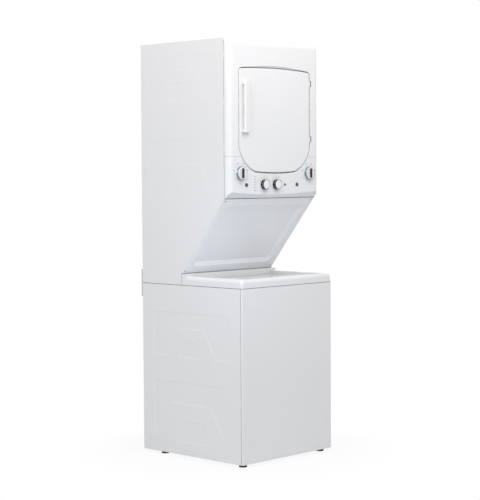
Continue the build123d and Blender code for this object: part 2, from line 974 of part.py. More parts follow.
ring_outer = basket_radius + basket_wall + ring_width / 2
with BuildPart() as balance_ring:
    with BuildSketch(Plane.XY.offset(basket_top)):
        with Locations((0, tub_y)):
            Circle(ring_outer)
            Circle(ring_outer - ring_width, mode=Mode.SUBTRACT)
    extrude(amount=ring_height)
    fillet(balance_ring.edges().group_by(Axis.Z)[-1], ring_height / 4)
balance_ring.part.label = "balance_ring"
export_step(balance_ring.part, "parts/balance_ring.step")

# Agitator: a flared skirt, a tapered column, a domed cap and upright vanes
agitator_bottom = basket_floor + agitator_lift
agitator_top = agitator_bottom + agitator_height
agitator_knee = agitator_bottom + agitator_height / 3
agitator_bore_top = agitator_bottom + agitator_shaft_length

with BuildPart() as agitator:
    with BuildSketch(tub_plane):
        with BuildLine():
            Line(
                (agitator_shaft_radius + shaft_gap, agitator_bottom),
                (agitator_base_radius, agitator_bottom),
            )
            Line(
                (agitator_base_radius, agitator_bottom),
                (agitator_base_radius, agitator_bottom + vane_thickness),
            )
            RadiusArc(
                (agitator_base_radius, agitator_bottom + vane_thickness),
                (agitator_column_radius, agitator_knee),
                agitator_base_radius,
            )
            Line((agitator_column_radius, agitator_knee), (agitator_top_radius, agitator_top))
            RadiusArc(
                (agitator_top_radius, agitator_top),
                (0, agitator_top + agitator_dome),
                -(agitator_top_radius**2 + agitator_dome**2) / (2 * agitator_dome),
            )
            Line((0, agitator_top + agitator_dome), (0, agitator_bore_top))
            Line((0, agitator_bore_top), (agitator_shaft_radius + shaft_gap, agitator_bore_top))
            Line(
                (agitator_shaft_radius + shaft_gap, agitator_bore_top),
                (agitator_shaft_radius + shaft_gap, agitator_bottom),
            )
        make_face()
    revolve(axis=tub_axis)
    for vane in range(vane_count):
        angle = radians(360 * (vane + 0.5) / vane_count)
        upright = Plane(
            origin=(0, tub_y, 0),
            x_dir=(cos(angle), sin(angle), 0),
            z_dir=(sin(angle), -cos(angle), 0),
        )
        with BuildSketch(upright):
            with BuildLine():
                Polyline(
                    (agitator_top_radius - vane_thickness, agitator_bottom + vane_thickness / 2),
                    (agitator_base_radius - vane_thickness, agitator_bottom + vane_thickness / 2),
                    (agitator_column_radius + vane_reach, agitator_knee),
                    (agitator_top_radius + vane_reach / 2, agitator_top - agitator_dome),
                    (agitator_top_radius - vane_thickness, agitator_top - agitator_dome / 2),
                    close=True,
                )
            make_face()
        extrude(amount=vane_thickness / 2, both=True)
    bar_z(0, tub_y, agitator_shaft_radius + shaft_gap, agitator_bottom, agitator_bore_top, Mode.SUBTRACT)
agitator.part.label = "agitator"
export_step(agitator.part, "parts/agitator.step")


# A flat pulley between two rims on its shaft, with half its section given as (radius, Z).
def pulley_section(shaft, radius, shaft_bottom, shaft_top):
    rim = pulley_rim * 0.75
    return [
        (0, shaft_bottom),
        (shaft, shaft_bottom),
        (shaft, pulley_z),
        (radius + pulley_rim, pulley_z),
        (radius + pulley_rim, pulley_z + rim),
        (radius, pulley_z + rim),
        (radius, pulley_z + pulley_height - rim),
        (radius + pulley_rim, pulley_z + pulley_height - rim),
        (radius + pulley_rim, pulley_z + pulley_height),
        (shaft, pulley_z + pulley_height),
        (shaft, shaft_top),
        (0, shaft_top),
    ]


# Drive shaft with its pulley, and the thinner agitator shaft above the basket floor
with BuildPart() as drive_shaft:
    with BuildSketch(tub_plane):
        with BuildLine():
            Polyline(
                *pulley_section(shaft_radius, pulley_radius, pulley_z - pulley_rim, basket_bottom),
                close=True,
            )
        make_face()
    revolve(axis=tub_axis)
    bar_z(0, tub_y, agitator_shaft_radius, basket_bottom, agitator_bore_top - slip)
drive_shaft.part.label = "drive_shaft"
export_step(drive_shaft.part, "parts/drive_shaft.step")

# Gearcase with the plate that carries it and the motor under the tub
motor_y = tub_y + motor_offset
support_bottom = tub_bottom - support_thickness
gearcase_top = gearcase_bottom + gearcase_height

with BuildPart() as gearcase:
    span_box(
        -support_half_width,
        support_half_width,
        tub_y - support_front,
        motor_y + washer_motor_radius + support_rear_margin,
        support_bottom,
        tub_bottom,
    )
    bar_z(0, tub_y, hub_radius, gearcase_top, support_bottom)
    bar_z(0, tub_y, gearcase_radius, gearcase_bottom, gearcase_top)
    fillet(gearcase.edges().group_by(Axis.Z)[0], pulley_rim)
    bar_z(0, tub_y, shaft_radius + shaft_gap, gearcase_bottom, tub_bottom, Mode.SUBTRACT)
gearcase.part.label = "gearcase"
export_step(gearcase.part, "parts/gearcase.step")

with BuildPart() as washer_motor:
    bar_z(0, motor_y, washer_motor_radius, gearcase_bottom, support_bottom)
    fillet(washer_motor.edges().group_by(Axis.Z)[0], pulley_rim)
    bar_z(
        0,
        motor_y,
        motor_shaft_radius + shaft_gap,
        gearcase_bottom,
        gearcase_bottom + motor_shaft_depth,
        Mode.SUBTRACT,
    )
washer_motor.part.label = "washer_motor"
export_step(washer_motor.part, "parts/washer_motor.step")

with BuildPart() as washer_motor_pulley:
    with BuildSketch(Plane(origin=(0, motor_y, 0), x_dir=(1, 0, 0), z_dir=(0, -1, 0))):
        with BuildLine():
            shaft_top = gearcase_bottom + motor_shaft_depth - slip
            Polyline(
                *pulley_section(motor_shaft_radius, motor_pulley_radius, pulley_z - pulley_rim, shaft_top),
                close=True,
            )
        make_face()
    revolve(axis=Axis((0, motor_y, 0), (0, 0, 1)))
washer_motor_pulley.part.label = "washer_motor_pulley"
export_step(washer_motor_pulley.part, "parts/washer_motor_pulley.step")


# A belt loop round two circles, each given as a centre and a radius.
def belt_loop(first, first_radius, second, second_radius, thickness):
    with BuildSketch(mode=Mode.PRIVATE) as inner:
        with Locations(first):
            Circle(first_radius)
        with Locations(second):
            Circle(second_radius)
        make_hull()
    with BuildSketch(mode=Mode.PRIVATE) as outer:
        with Locations(first):
            Circle(first_radius + thickness)
        with Locations(second):
            Circle(second_radius + thickness)
        make_hull()
    add(outer.sketch)
    add(inner.sketch, mode=Mode.SUBTRACT)


with BuildPart() as washer_belt:
    with BuildSketch(Plane.XY.offset(pulley_z + belt_margin)):
        belt_loop(
            (0, tub_y),
            pulley_radius + slip,
            (0, motor_y),
            motor_pulley_radius + slip,
            belt_thickness,
        )
    extrude(amount=pulley_height - 2 * belt_margin)
washer_belt.part.label = "washer_belt"
export_step(washer_belt.part, "parts/washer_belt.step")

# Suspension rods that hang from the side panels, and the springs that carry the tub flange on them
with BuildPart() as suspension_rods:
    for x, y in rod_places:
        bar_z(x, y, rod_radius, rod_bottom, gusset_z + rod_nut_height)
        bar_z(x, y, rod_cap_radius, rod_bottom, rod_bottom + rod_cap_height)
        bar_z(x, y, rod_nut_radius, gusset_z, gusset_z + rod_nut_height)
suspension_rods.part.label = "suspension_rods"
export_step(suspension_rods.part, "parts/suspension_rods.step")

with BuildPart() as suspension_springs:
    with BuildSketch(Plane.XY.offset(rod_bottom + rod_cap_height)):
        with Locations(*rod_places):
            Circle(spring_radius)
            Circle(spring_bore, mode=Mode.SUBTRACT)
    extrude(amount=tub_flange_z - rod_bottom - rod_cap_height)
suspension_springs.part.label = "suspension_springs"
export_step(suspension_springs.part, "parts/suspension_springs.step")

# Drain pump under the tub, and its hose up to the outlet at the back
pump_outlet_x = pump_x + pump_radius + pump_stub

with BuildPart() as drain_pump:
    bar_z(pump_x, pump_y, pump_radius, tub_bottom - pump_height, tub_bottom)
    fillet(drain_pump.edges().group_by(Axis.Z)[0], pulley_rim)
    bar_x(pump_y, hose_z, hose_radius, pump_x, pump_outlet_x)
drain_pump.part.label = "drain_pump"
export_step(drain_pump.part, "parts/drain_pump.step")

with BuildPart() as drain_hose:
    with BuildLine() as drain_path:
        FilletPolyline(
            (pump_outlet_x, pump_y, hose_z),
            (hose_lane_x, pump_y, hose_z),
            (hose_lane_x, hose_lane_y, hose_z),
            (hose_lane_x, hose_lane_y, drain_z),
            (hose_lane_x, back_y + drain_reach, drain_z),
            radius=hose_bend,
        )
    with BuildSketch(side_plane(pump_outlet_x)):
        with Locations((pump_y, hose_z)):
            Circle(hose_radius)
            Circle(hose_bore, mode=Mode.SUBTRACT)
    sweep()
    drain_tip_y = back_y + drain_reach
    bar_y(hose_lane_x, drain_z, drain_tail_radius, back_y + tail_gap, drain_tip_y)
    bar_y(hose_lane_x, drain_z, hose_bore, back_y + tail_gap, drain_tip_y, Mode.SUBTRACT)
drain_hose.part.label = "drain_hose"
export_step(drain_hose.part, "parts/drain_hose.step")

# Inlet valve with two threaded tails through the back and a spout over the tub
valve_width, valve_depth, valve_height = valve_size
valve_front_y = inner_back - valve_depth

with BuildPart() as inlet_valve:
    span_box(
        inlet_middle_x - valve_width / 2,
        inlet_middle_x + valve_width / 2,
        valve_front_y,
        inner_back,
        inlet_z - valve_height / 2,
        inlet_z + valve_height / 2,
    )
    for x in inlet_xs:
        bar_y(x, inlet_z, inlet_neck_radius, inner_back, back_y + tail_gap)
        bar_y(x, inlet_z, inlet_radius, back_y + tail_gap, back_y + inlet_reach)
    bar_y(inlet_middle_x, inlet_z, spout_radius, spout_end_y, valve_front_y)
inlet_valve.part.label = "inlet_valve"
export_step(inlet_valve.part, "parts/inlet_valve.step")

# Dryer side panels, which overhang the lid and carry the front panel on clips behind the seam
dryer_field = (back_y - dryer_field_rear_margin, dryer_seam_y + dryer_field_front_margin)
dryer_low_field_z = slope_top_z + dryer_low_rise
dryer_high_field_z = overall_height - dryer_high_drop

with BuildPart() as dryer_side_left:
    with BuildSketch(left_plane):
        with BuildLine():
            Polyline(
                (dryer_seam_y + seam, overall_height),
                (back_y, overall_height),
                (back_y, washer_top),
                (dryer_foot_y, washer_top),
                (dryer_foot_y, slope_bottom_z),
                (dryer_seam_y + seam, slope_top_z),
                close=True,
            )
        make_face()
    extrude(amount=sheet)
    press(
        arched_field(
            *dryer_field,
            dryer_low_field_z,
            dryer_low_height,
            dryer_low_arch_rise,
            dryer_low_foot_share,
            dryer_low_crown_share,
        ),
        dryer_press_depth,
    )
    press(
        tapered_dent(
            *dryer_field,
            dryer_low_dent_shift,
            dryer_low_field_z + dryer_low_rise,
            dryer_low_dent_height,
            dryer_low_dent_foot_share,
            dryer_low_dent_crown_share,
        ),
        dryer_press_depth,
    )
    press(
        arched_field(
            *dryer_field,
            dryer_high_field_z,
            dryer_high_height,
            dryer_high_arch_rise,
            dryer_high_foot_share,
            dryer_high_crown_share,
        ),
        dryer_press_depth,
    )
    press(
        tapered_dent(
            *dryer_field,
            dryer_high_dent_shift,
            dryer_high_field_z,
            dryer_high_dent_height,
            dryer_high_dent_foot_share,
            dryer_high_dent_crown_share,
        ),
        dryer_press_depth,
    )
    for drop in clip_drops:
        span_box(
            -inner_half,
            -inner_half + sheet,
            dryer_seam_y - front_return,
            dryer_seam_y + seam + clip_reach,
            overall_height - drop,
            overall_height - drop + clip_height,
        )
dryer_side_left.part.label = "dryer_side_left"
export_step(dryer_side_left.part, "parts/dryer_side_left.step")

with BuildPart() as dryer_side_right:
    mirror(dryer_side_left.part, about=Plane.YZ)
dryer_side_right.part.label = "dryer_side_right"
export_step(dryer_side_right.part, "parts/dryer_side_right.step")

# Screw places: on the sloped panel as (X, distance up the slope), on the back as (X, Z), on top as (X, Y)
screw_x = inner_half - screw_edge
slope_screws = [(x, y) for x in (-screw_x, screw_x) for y in (screw_edge, slope_length - seam - screw_edge)]
rear_screw_levels = (ledge_top + rear_screw_rise, drum_z, overall_height - rear_screw_drop)
rear_screws = [(x, z) for x in (-screw_x, screw_x) for z in rear_screw_levels]
top_screw_depths = (dryer_seam_y + top_screw_front, inner_back - top_screw_rear)
top_screws = [(x, y) for x in (-screw_x, screw_x) for y in top_screw_depths]
slope_direction = (0, sin(radians(slope_angle)), cos(radians(slope_angle)))
slope_plane = Plane(origin=(0, dryer_foot_y, slope_bottom_z), x_dir=(-1, 0, 0), z_dir=slope_direction)
back_plane = Plane(origin=(0, back_y, 0), x_dir=(1, 0, 0), z_dir=(0, -1, 0))
top_plane = Plane(origin=(0, 0, overall_height), x_dir=(-1, 0, 0), z_dir=(0, 0, -1))

with BuildPart() as cabinet_screws:
    for plane, places in ((slope_plane, slope_screws), (back_plane, rear_screws), (top_plane, top_screws)):
        with BuildSketch(plane):
            with Locations(*places):
                Circle(screw_radius)
        extrude(amount=-screw_head)
        with BuildSketch(plane):
            with Locations(*places):
                Circle(screw_shank_radius)
        extrude(amount=screw_shank_length)
cabinet_screws.part.label = "cabinet_screws"
export_step(cabinet_screws.part, "parts/cabinet_screws.step")

# Dryer top panel
with BuildPart() as dryer_top_panel:
    top_front_y = dryer_seam_y + seam
    under_top = overall_height - sheet
    span_box(-inner_half, inner_half, top_front_y, inner_back, under_top, overall_height)
    span_box(-inner_half, inner_half, top_front_y, top_front_y + sheet, under_top - top_flange, under_top)
    span_box(-inner_half, inner_half, inner_back - sheet, inner_back, under_top - top_flange, under_top)
    with BuildSketch(top_plane):
        with Locations(*top_screws):
            Circle(screw_shank_radius + shaft_gap)
    extrude(amount=sheet, mode=Mode.SUBTRACT)
dryer_top_panel.part.label = "dryer_top_panel"
export_step(dryer_top_panel.part, "parts/dryer_top_panel.step")

# Dryer rear panel with louvres, the exhaust hole and the terminal box
exhaust_z = motor_z - exhaust_drop

with BuildPart() as dryer_rear_panel:
    span_box(-inner_half, inner_half, inner_back, back_y, washer_top, overall_height - sheet)
    span_box(
        terminal_x - terminal_width / 2,
        terminal_x + terminal_width / 2,
        back_y,
        back_y + terminal_depth,
        terminal_z - terminal_height / 2,
        terminal_z + terminal_height / 2,
    )
    span_box(
        terminal_x - terminal_width / 2 + sheet,
        terminal_x + terminal_width / 2 - sheet,
        inner_back,
        back_y + terminal_depth - sheet,
        terminal_z - terminal_height / 2 + sheet,
        terminal_z + terminal_height / 2 - sheet,
        Mode.SUBTRACT,
    )
    cord_y = back_y + terminal_depth / 2
    bar_z(terminal_x, cord_y, cord_radius, terminal_z - terminal_height / 2, terminal_z, Mode.SUBTRACT)
    bar_y(exhaust_x, exhaust_z, exhaust_radius + slip, inner_back, back_y, Mode.SUBTRACT)
    with BuildSketch(back_plane):
        with Locations(*[(0, louver_top_z - louver_pitch * row) for row in range(louver_count)]):
            RectangleRounded(louver_length, louver_height, louver_height / 3)
        with Locations(*rear_screws):
            Circle(screw_shank_radius + shaft_gap)
    extrude(amount=sheet, mode=Mode.SUBTRACT)
dryer_rear_panel.part.label = "dryer_rear_panel"
export_step(dryer_rear_panel.part, "parts/dryer_rear_panel.step")


# The shield shape of the dryer door, as (X, Z), grown by a margin all round.
def door_outline(grow):
    chin_x = (door_half_width + door_chin_half) / 2
    chin_z = (door_waist_z + door_chin_z) / 2
    chord = hypot(door_half_width - door_chin_half, door_waist_z - door_chin_z)
    bulge_x = door_cheek_bulge * (door_waist_z - door_chin_z) / chord
    bulge_z = door_cheek_bulge * (door_half_width - door_chin_half) / chord
    with BuildSketch() as shield:
        with BuildLine():
            Line((-door_half_width, door_waist_z), (-door_half_width, door_shoulder_z))
            ThreePointArc(
                (-door_half_width, door_shoulder_z),
                (0, door_shoulder_z + door_crown),
                (door_half_width, door_shoulder_z),
            )
            Line((door_half_width, door_shoulder_z), (door_half_width, door_waist_z))
            ThreePointArc(
                (door_half_width, door_waist_z),
                (chin_x + bulge_x, chin_z - bulge_z),
                (door_chin_half, door_chin_z),
            )
            ThreePointArc(
                (door_chin_half, door_chin_z),
                (0, door_chin_z - door_chin_sag),
                (-door_chin_half, door_chin_z),
            )
            ThreePointArc(
                (-door_chin_half, door_chin_z),
                (-chin_x - bulge_x, chin_z - bulge_z),
                (-door_half_width, door_waist_z),
            )
        make_face()
        fillet(shield.vertices().group_by(Axis.Y)[-1], door_corner)
        fillet(shield.vertices().group_by(Axis.Y)[0], door_chin_corner)
        if grow:
            offset(amount=grow, mode=Mode.REPLACE)
    return shield.sketch


# The loading hole behind the door, as (X, Z), grown by a margin all round.
def opening_outline(grow):
    with BuildSketch() as hole:
        with Locations((0, (opening_bottom_z + opening_top_z) / 2)):
            RectangleRounded(
                2 * (opening_half_width + grow),
                opening_top_z - opening_bottom_z + 2 * grow,
                opening_corner + grow,
            )
    return hole.sketch


hinge_levels = (hinge_upper_z, hinge_lower_z)
hinge_gap = hinge_arm_half + hinge_room
hinge_clear_y = hinge_y + hinge_eye_radius + hinge_room

# Dryer front panel with the upper part of the door recess
with BuildPart() as front_core:
    with BuildSketch(Plane.XY.offset(panel_top_z)):
        rolled_front(inner_half, dryer_front_y + sheet, dryer_seam_y, dryer_edge_radius - sheet)
    extrude(amount=overall_height - sheet - panel_top_z)
    fillet(front_core.faces().sort_by(Axis.Z)[-1].edges().sort_by(Axis.Y)[:3], dryer_top_roll - sheet)

with BuildPart() as dryer_front_panel:
    with BuildSketch(Plane.XY.offset(panel_top_z)):
        rolled_front(half_width, dryer_front_y, dryer_seam_y, dryer_edge_radius)
    extrude(amount=overall_height - panel_top_z)
    fillet(dryer_front_panel.faces().sort_by(Axis.Z)[-1].edges().sort_by(Axis.Y)[:3], dryer_top_roll)
    add(front_core.part, mode=Mode.SUBTRACT)
    with BuildSketch(face_plane(dryer_front_y)):
        add(door_outline(door_gap + sheet))
    extrude(amount=-recess_depth - sheet)
    with BuildSketch(face_plane(dryer_front_y + sheet)):
        with BuildLine():
            relief_half = door_half_width - relief_inset
            ThreePointArc(
                (-relief_half, door_shoulder_z + door_gap + sheet),
                (0, door_shoulder_z + door_gap + relief_rise + sheet),
                (relief_half, door_shoulder_z + door_gap + sheet),
            )
            Polyline(
                (relief_half, door_shoulder_z + door_gap + sheet),
                (relief_half, door_waist_z),
                (-relief_half, door_waist_z),
                (-relief_half, door_shoulder_z + door_gap + sheet),
            )
        make_face()
    extrude(amount=-relief_depth)
    with BuildSketch(face_plane(dryer_front_y)):
        add(door_outline(door_gap))
    extrude(amount=-recess_depth, mode=Mode.SUBTRACT)
    with BuildSketch(Plane(origin=(0, dryer_front_y, 0), x_dir=(-1, 0, 0), z_dir=(0, 1, 0))):
        with BuildLine():
            ThreePointArc(
                (-relief_half, door_shoulder_z + door_gap),
                (0, door_shoulder_z + door_gap + relief_rise),
                (relief_half, door_shoulder_z + door_gap),
            )
            Polyline(
                (relief_half, door_shoulder_z + door_gap),
                (relief_half, door_waist_z),
                (-relief_half, door_waist_z),
                (-relief_half, door_shoulder_z + door_gap),
            )
        make_face()
    extrude(amount=relief_depth, taper=relief_angle, mode=Mode.SUBTRACT)
    with BuildSketch(face_plane(recess_floor_y)):
        add(opening_outline(0))
        with Locations((strike_x, strike_z)):
            Rectangle(strike_thickness + 2 * catch_room, 2 * (strike_half + catch_room))
    extrude(amount=-sheet, mode=Mode.SUBTRACT)
    for z in hinge_levels:
        span_box(
            door_half_width,
            hinge_x + hinge_swing_room,
            dryer_front_y,
            hinge_clear_y,
            z - hinge_gap,
            z + hinge_gap,
            Mode.SUBTRACT,
        )
    span_box(
        -half_width,
        half_width,
        dryer_front_y,
        dryer_seam_y,
        panel_bottom_z,
        panel_top_z + fascia_seam,
        Mode.SUBTRACT,
    )
dryer_front_panel.part.label = "dryer_front_panel"
export_step(dryer_front_panel.part, "parts/dryer_front_panel.step")

# Control panel: rolled ends, a sagging lower edge, an underside that runs back, the recess chin
underside_half = half_width + panel_wall

with BuildPart() as underside:
    with BuildSketch(face_plane(dryer_front_y)):
        with BuildLine():
            ThreePointArc(
                (-underside_half, panel_bottom_z),
                (0, panel_bottom_z - panel_sag),
                (underside_half, panel_bottom_z),
            )
            Polyline(
                (underside_half, panel_bottom_z),
                (underside_half, slope_bottom_z),
                (-underside_half, slope_bottom_z),
                (-underside_half, panel_bottom_z),
            )
        make_face()
    with BuildSketch(face_plane(dryer_seam_y)):
        with BuildLine():
            Polyline(
                (-underside_half, slope_top_z),
                (underside_half, slope_top_z),
                (underside_half, slope_bottom_z),
                (-underside_half, slope_bottom_z),
                close=True,
            )
        make_face()
    loft(ruled=True)

fascia_height = panel_top_z - slope_top_z
with BuildPart() as fascia_core:
    with BuildSketch(Plane.XY.offset(slope_top_z)):
        rolled_front(
            half_width - panel_wall,
            dryer_front_y + panel_wall,
            dryer_seam_y,
            dryer_edge_radius - panel_wall,
        )
    extrude(amount=fascia_height)
    add(underside.part.moved(Location((0, 0, underside_lift))), mode=Mode.SUBTRACT)

selector_xs = (load_knob_x, temperature_knob_x)
button_xs = (washer_button_x, dryer_button_x)
light_places = [(light_x, light_low_z + light_pitch * row) for row in range(light_count)]

with BuildPart() as control_panel:
    with BuildSketch(Plane.XY.offset(slope_top_z)):
        rolled_front(half_width, dryer_front_y, dryer_seam_y, dryer_edge_radius)
    extrude(amount=fascia_height)
    add(underside.part, mode=Mode.SUBTRACT)
    add(fascia_core.part, mode=Mode.SUBTRACT)
    with BuildSketch(face_plane(dryer_front_y)):
        add(door_outline(door_gap + panel_wall))
    extrude(amount=-recess_depth - sheet)
    with BuildSketch(face_plane(dryer_front_y)):
        add(door_outline(door_gap))
    extrude(amount=-recess_depth, mode=Mode.SUBTRACT)
    span_box(
        -half_width,
        half_width,
        dryer_front_y,
        dryer_seam_y,
        panel_top_z,
        overall_height,
        Mode.SUBTRACT,
    )
    with BuildSketch(face_plane(dryer_front_y)):
        with Locations((-cycle_knob_x, cycle_knob_z), (cycle_knob_x, cycle_knob_z)):
            Circle(knob_shaft_radius + slip)
        with Locations(*[(x, small_knob_z) for x in selector_xs]):
            Circle(knob_shaft_radius + slip)
        with Locations(*[(x, button_z) for x in button_xs]):
            Circle(button_radius + slip)
        with Locations(*light_places):
            Circle(light_radius + shaft_gap)
        with Locations((lamp_x, button_z)):
            Circle(lamp_radius + shaft_gap)
    extrude(amount=-panel_wall, mode=Mode.SUBTRACT)
control_panel.part.label = "control_panel"
export_step(control_panel.part, "parts/control_panel.step")

# Sloped panel above the washer lid, with its pressed field
with BuildPart() as sloped_panel:
    slope_face = slope_length - seam
    field_width = 2 * (inner_half - slope_press_margin)
    field_length = slope_face - 2 * slope_press_margin
    with BuildSketch(slope_plane):
        with Locations((0, slope_face / 2)):
            Rectangle(2 * inner_half, slope_face)
    extrude(amount=sheet)
    with BuildSketch(slope_plane.offset(sheet)):
        with Locations((0, slope_face / 2)):
            RectangleRounded(field_width, field_length, slope_press_corner)
    extrude(amount=slope_press_depth, taper=slope_press_angle)
    with BuildSketch(slope_plane):
        with Locations((0, slope_face / 2)):
            RectangleRounded(field_width, field_length, slope_press_corner)
    extrude(amount=slope_press_depth, taper=slope_press_angle, mode=Mode.SUBTRACT)
    with BuildSketch(slope_plane):
        with Locations(*slope_screws):
            Circle(screw_shank_radius + shaft_gap)
    extrude(amount=sheet, mode=Mode.SUBTRACT)
sloped_panel.part.label = "sloped_panel"
export_step(sloped_panel.part, "parts/sloped_panel.step")

# Dryer door: the outer shell, cut open where the hinge arms pass
hinge_root_x = door_half_width - hinge_arm_root

with BuildPart() as door_outer:
    with BuildSketch(face_plane(door_face_y)):
        add(door_outline(0))
    extrude(amount=-door_depth)
    fillet(door_outer.faces().sort_by(Axis.Y)[0].edges(), door_edge_radius)
    with BuildSketch(face_plane(door_face_y + door_skin)):
        add(door_outline(-door_edge_radius))
    extrude(amount=-door_depth, mode=Mode.SUBTRACT)
    for z in hinge_levels:
        span_box(
            hinge_root_x - hinge_room,
            door_half_width,
            door_face_y + door_skin,
            door_back_y,
            z - hinge_gap,
            z + hinge_gap,
            Mode.SUBTRACT,
        )
door_outer.part.label = "door_outer"
export_step(door_outer.part, "parts/door_outer.step")

# Dryer door: the inner plate with its plug, hinge arms and strike
arm_face_y = hinge_y - hinge_arm_thickness / 2

with BuildPart() as door_inner:
    with BuildSketch(face_plane(door_back_y)):
        add(door_outline(0))
    extrude(amount=-inner_plate)
    with BuildSketch(face_plane(door_plate_y)):
        add(opening_outline(-plug_gap))
    extrude(amount=-plug_depth)
    with BuildSketch(face_plane(door_back_y)):
        add(opening_outline(-plug_gap - 2 * inner_plate))
    extrude(amount=-plug_depth, mode=Mode.SUBTRACT)
    for z in hinge_levels:
        span_box(
            hinge_root_x,
            door_half_width - door_edge_radius,
            arm_face_y,
            door_back_y,
            z - hinge_arm_half,
            z + hinge_arm_half,
        )
        span_box(
            hinge_root_x,
            hinge_x,
            arm_face_y,
            arm_face_y + hinge_arm_thickness,
            z - hinge_arm_half,
            z + hinge_arm_half,
        )
        bar_z(hinge_x, hinge_y, hinge_eye_radius, z - hinge_arm_half, z + hinge_arm_half)
        bar_z(
            hinge_x,
            hinge_y,
            hinge_pin_radius + shaft_gap,
            z - hinge_arm_half,
            z + hinge_arm_half,
            Mode.SUBTRACT,
        )
    span_box(
        strike_x - strike_thickness / 2,
        strike_x + strike_thickness / 2,
        door_plate_y,
        door_plate_y + strike_reach,
        strike_z - strike_half,
        strike_z + strike_half,
    )
door_inner.part.label = "door_inner"
export_step(door_inner.part, "parts/door_inner.step")

with BuildPart() as door_gasket:
    with BuildSketch(face_plane(door_plate_y)):
        add(opening_outline(gasket_margin + gasket_width))
        add(opening_outline(gasket_margin), mode=Mode.SUBTRACT)
    extrude(amount=door_plate_y - recess_floor_y + gasket_clear)
door_gasket.part.label = "door_gasket"
export_step(door_gasket.part, "parts/door_gasket.step")

# Pull handle: a wing that is raised at the left over a finger grip and dies into the door at the right
handle_top_z = handle_bottom_z + handle_height
handle_face_y = door_face_y - handle_reach
grip_front_y = handle_face_y + grip_skin
handle_sag = handle_width - handle_end_width
handle_arc_radius = ((handle_height / 2) ** 2 + handle_sag**2) / (2 * handle_sag)
handle_arc_x = handle_left_x + handle_width - handle_arc_radius
handle_tip_x = handle_left_x + handle_width + handle_overrun

with BuildPart() as door_handle:
    with BuildSketch(Plane.XY.offset(handle_bottom_z)):
        with BuildLine():
            Line((handle_left_x, door_face_y), (handle_left_x, handle_face_y + grip_skin))
            RadiusArc(
                (handle_left_x, handle_face_y + grip_skin),
                (handle_left_x + grip_skin, handle_face_y),
                grip_skin,
            )
            ThreePointArc(
                (handle_left_x + grip_skin, handle_face_y),
                (
                    handle_left_x + handle_crest_share * handle_width,
                    handle_face_y + handle_crest_drop * handle_reach,
                ),
                (handle_tip_x, door_face_y),
            )
            Line((handle_tip_x, door_face_y), (handle_left_x, door_face_y))
        make_face()
    extrude(amount=handle_height)
    bar_y(
        handle_arc_x,
        handle_bottom_z + handle_height / 2,
        handle_arc_radius,
        handle_face_y - grip_skin,
        door_face_y + grip_skin,
        Mode.INTERSECT,
    )
    span_box(
        handle_left_x,
        handle_left_x + grip_depth,
        grip_front_y,
        grip_front_y + grip_height,
        handle_bottom_z + grip_margin,
        handle_top_z - grip_margin,
        Mode.SUBTRACT,
    )
door_handle.part.label = "door_handle"
export_step(door_handle.part, "parts/door_handle.step")

# Hinge pins in the door's arms, and the brackets beside the recess whose ears the pins turn in
hinge_tip = hinge_gap + hinge_ear

with BuildPart() as door_hinge_pins:
    for z in hinge_levels:
        bar_z(hinge_x, hinge_y, hinge_pin_radius, z - hinge_tip, z + hinge_tip)
door_hinge_pins.part.label = "door_hinge_pins"
export_step(door_hinge_pins.part, "parts/door_hinge_pins.step")

with BuildPart() as door_hinge_brackets:
    bracket_left = door_half_width + door_gap + sheet
    bracket_right = hinge_x + hinge_bracket_side
    bracket_front = dryer_front_y + sheet
    for z in hinge_levels:
        span_box(
            bracket_left,
            bracket_right,
            bracket_front,
            hinge_clear_y + hinge_web,
            z - hinge_tip,
            z + hinge_tip,
        )
        span_box(
            bracket_left,
            bracket_right,
            bracket_front,
            hinge_clear_y,
            z - hinge_gap,
            z + hinge_gap,
            Mode.SUBTRACT,
        )
        bar_z(
            hinge_x,
            hinge_y,
            hinge_pin_radius + shaft_gap,
            z - hinge_tip,
            z + hinge_tip,
            Mode.SUBTRACT,
        )
door_hinge_brackets.part.label = "door_hinge_brackets"
export_step(door_hinge_brackets.part, "parts/door_hinge_brackets.step")

catch_half_x = strike_thickness / 2 + catch_room
catch_half_z = strike_half + catch_room
catch_back_y = door_plate_y + strike_reach + catch_room

with BuildPart() as door_catch:
    span_box(
        strike_x - catch_half_x - catch_wall,
        strike_x + catch_half_x + catch_wall,
        recess_back_y,
        catch_back_y + catch_wall,
        strike_z - catch_half_z - catch_wall,
        strike_z + catch_half_z + catch_wall,
    )
    span_box(
        strike_x - catch_half_x,
        strike_x + catch_half_x,
        recess_back_y,
        catch_back_y,
        strike_z - catch_half_z,
        strike_z + catch_half_z,
        Mode.SUBTRACT,
    )
door_catch.part.label = "door_catch"
export_step(door_catch.part, "parts/door_catch.step")

# Front bulkhead, whose collar the drum turns on
with BuildPart() as front_bulkhead:
    span_box(
        -inner_half,
        inner_half,
        bulkhead_y,
        bulkhead_y + sheet,
        bulkhead_bottom_z,
        overall_height - sheet - bulkhead_top_gap,
    )
    collar_radius = drum_radius - collar_gap
    bar_y(0, drum_z, collar_radius, bulkhead_y, drum_front_y + collar_overlap)
    bar_y(
        0,
        drum_z,
        collar_radius - collar_wall,
        bulkhead_y + sheet,
        drum_front_y + collar_overlap,
        Mode.SUBTRACT,
    )
    with BuildSketch(face_plane(bulkhead_y)):
        add(opening_outline(0))
    extrude(amount=-sheet, mode=Mode.SUBTRACT)
front_bulkhead.part.label = "front_bulkhead"
export_step(front_bulkhead.part, "parts/front_bulkhead.step")

with BuildPart() as rear_bulkhead:
    span_box(
        -inner_half,
        inner_half,
        rear_bulkhead_y,
        rear_bulkhead_y + sheet,
        bulkhead_bottom_z,
        overall_height - sheet - bulkhead_top_gap,
    )
    bar_y(0, drum_z, drum_shaft_radius + sheet, rear_bulkhead_y, rear_bulkhead_y + sheet, Mode.SUBTRACT)
rear_bulkhead.part.label = "rear_bulkhead"
export_step(rear_bulkhead.part, "parts/rear_bulkhead.step")

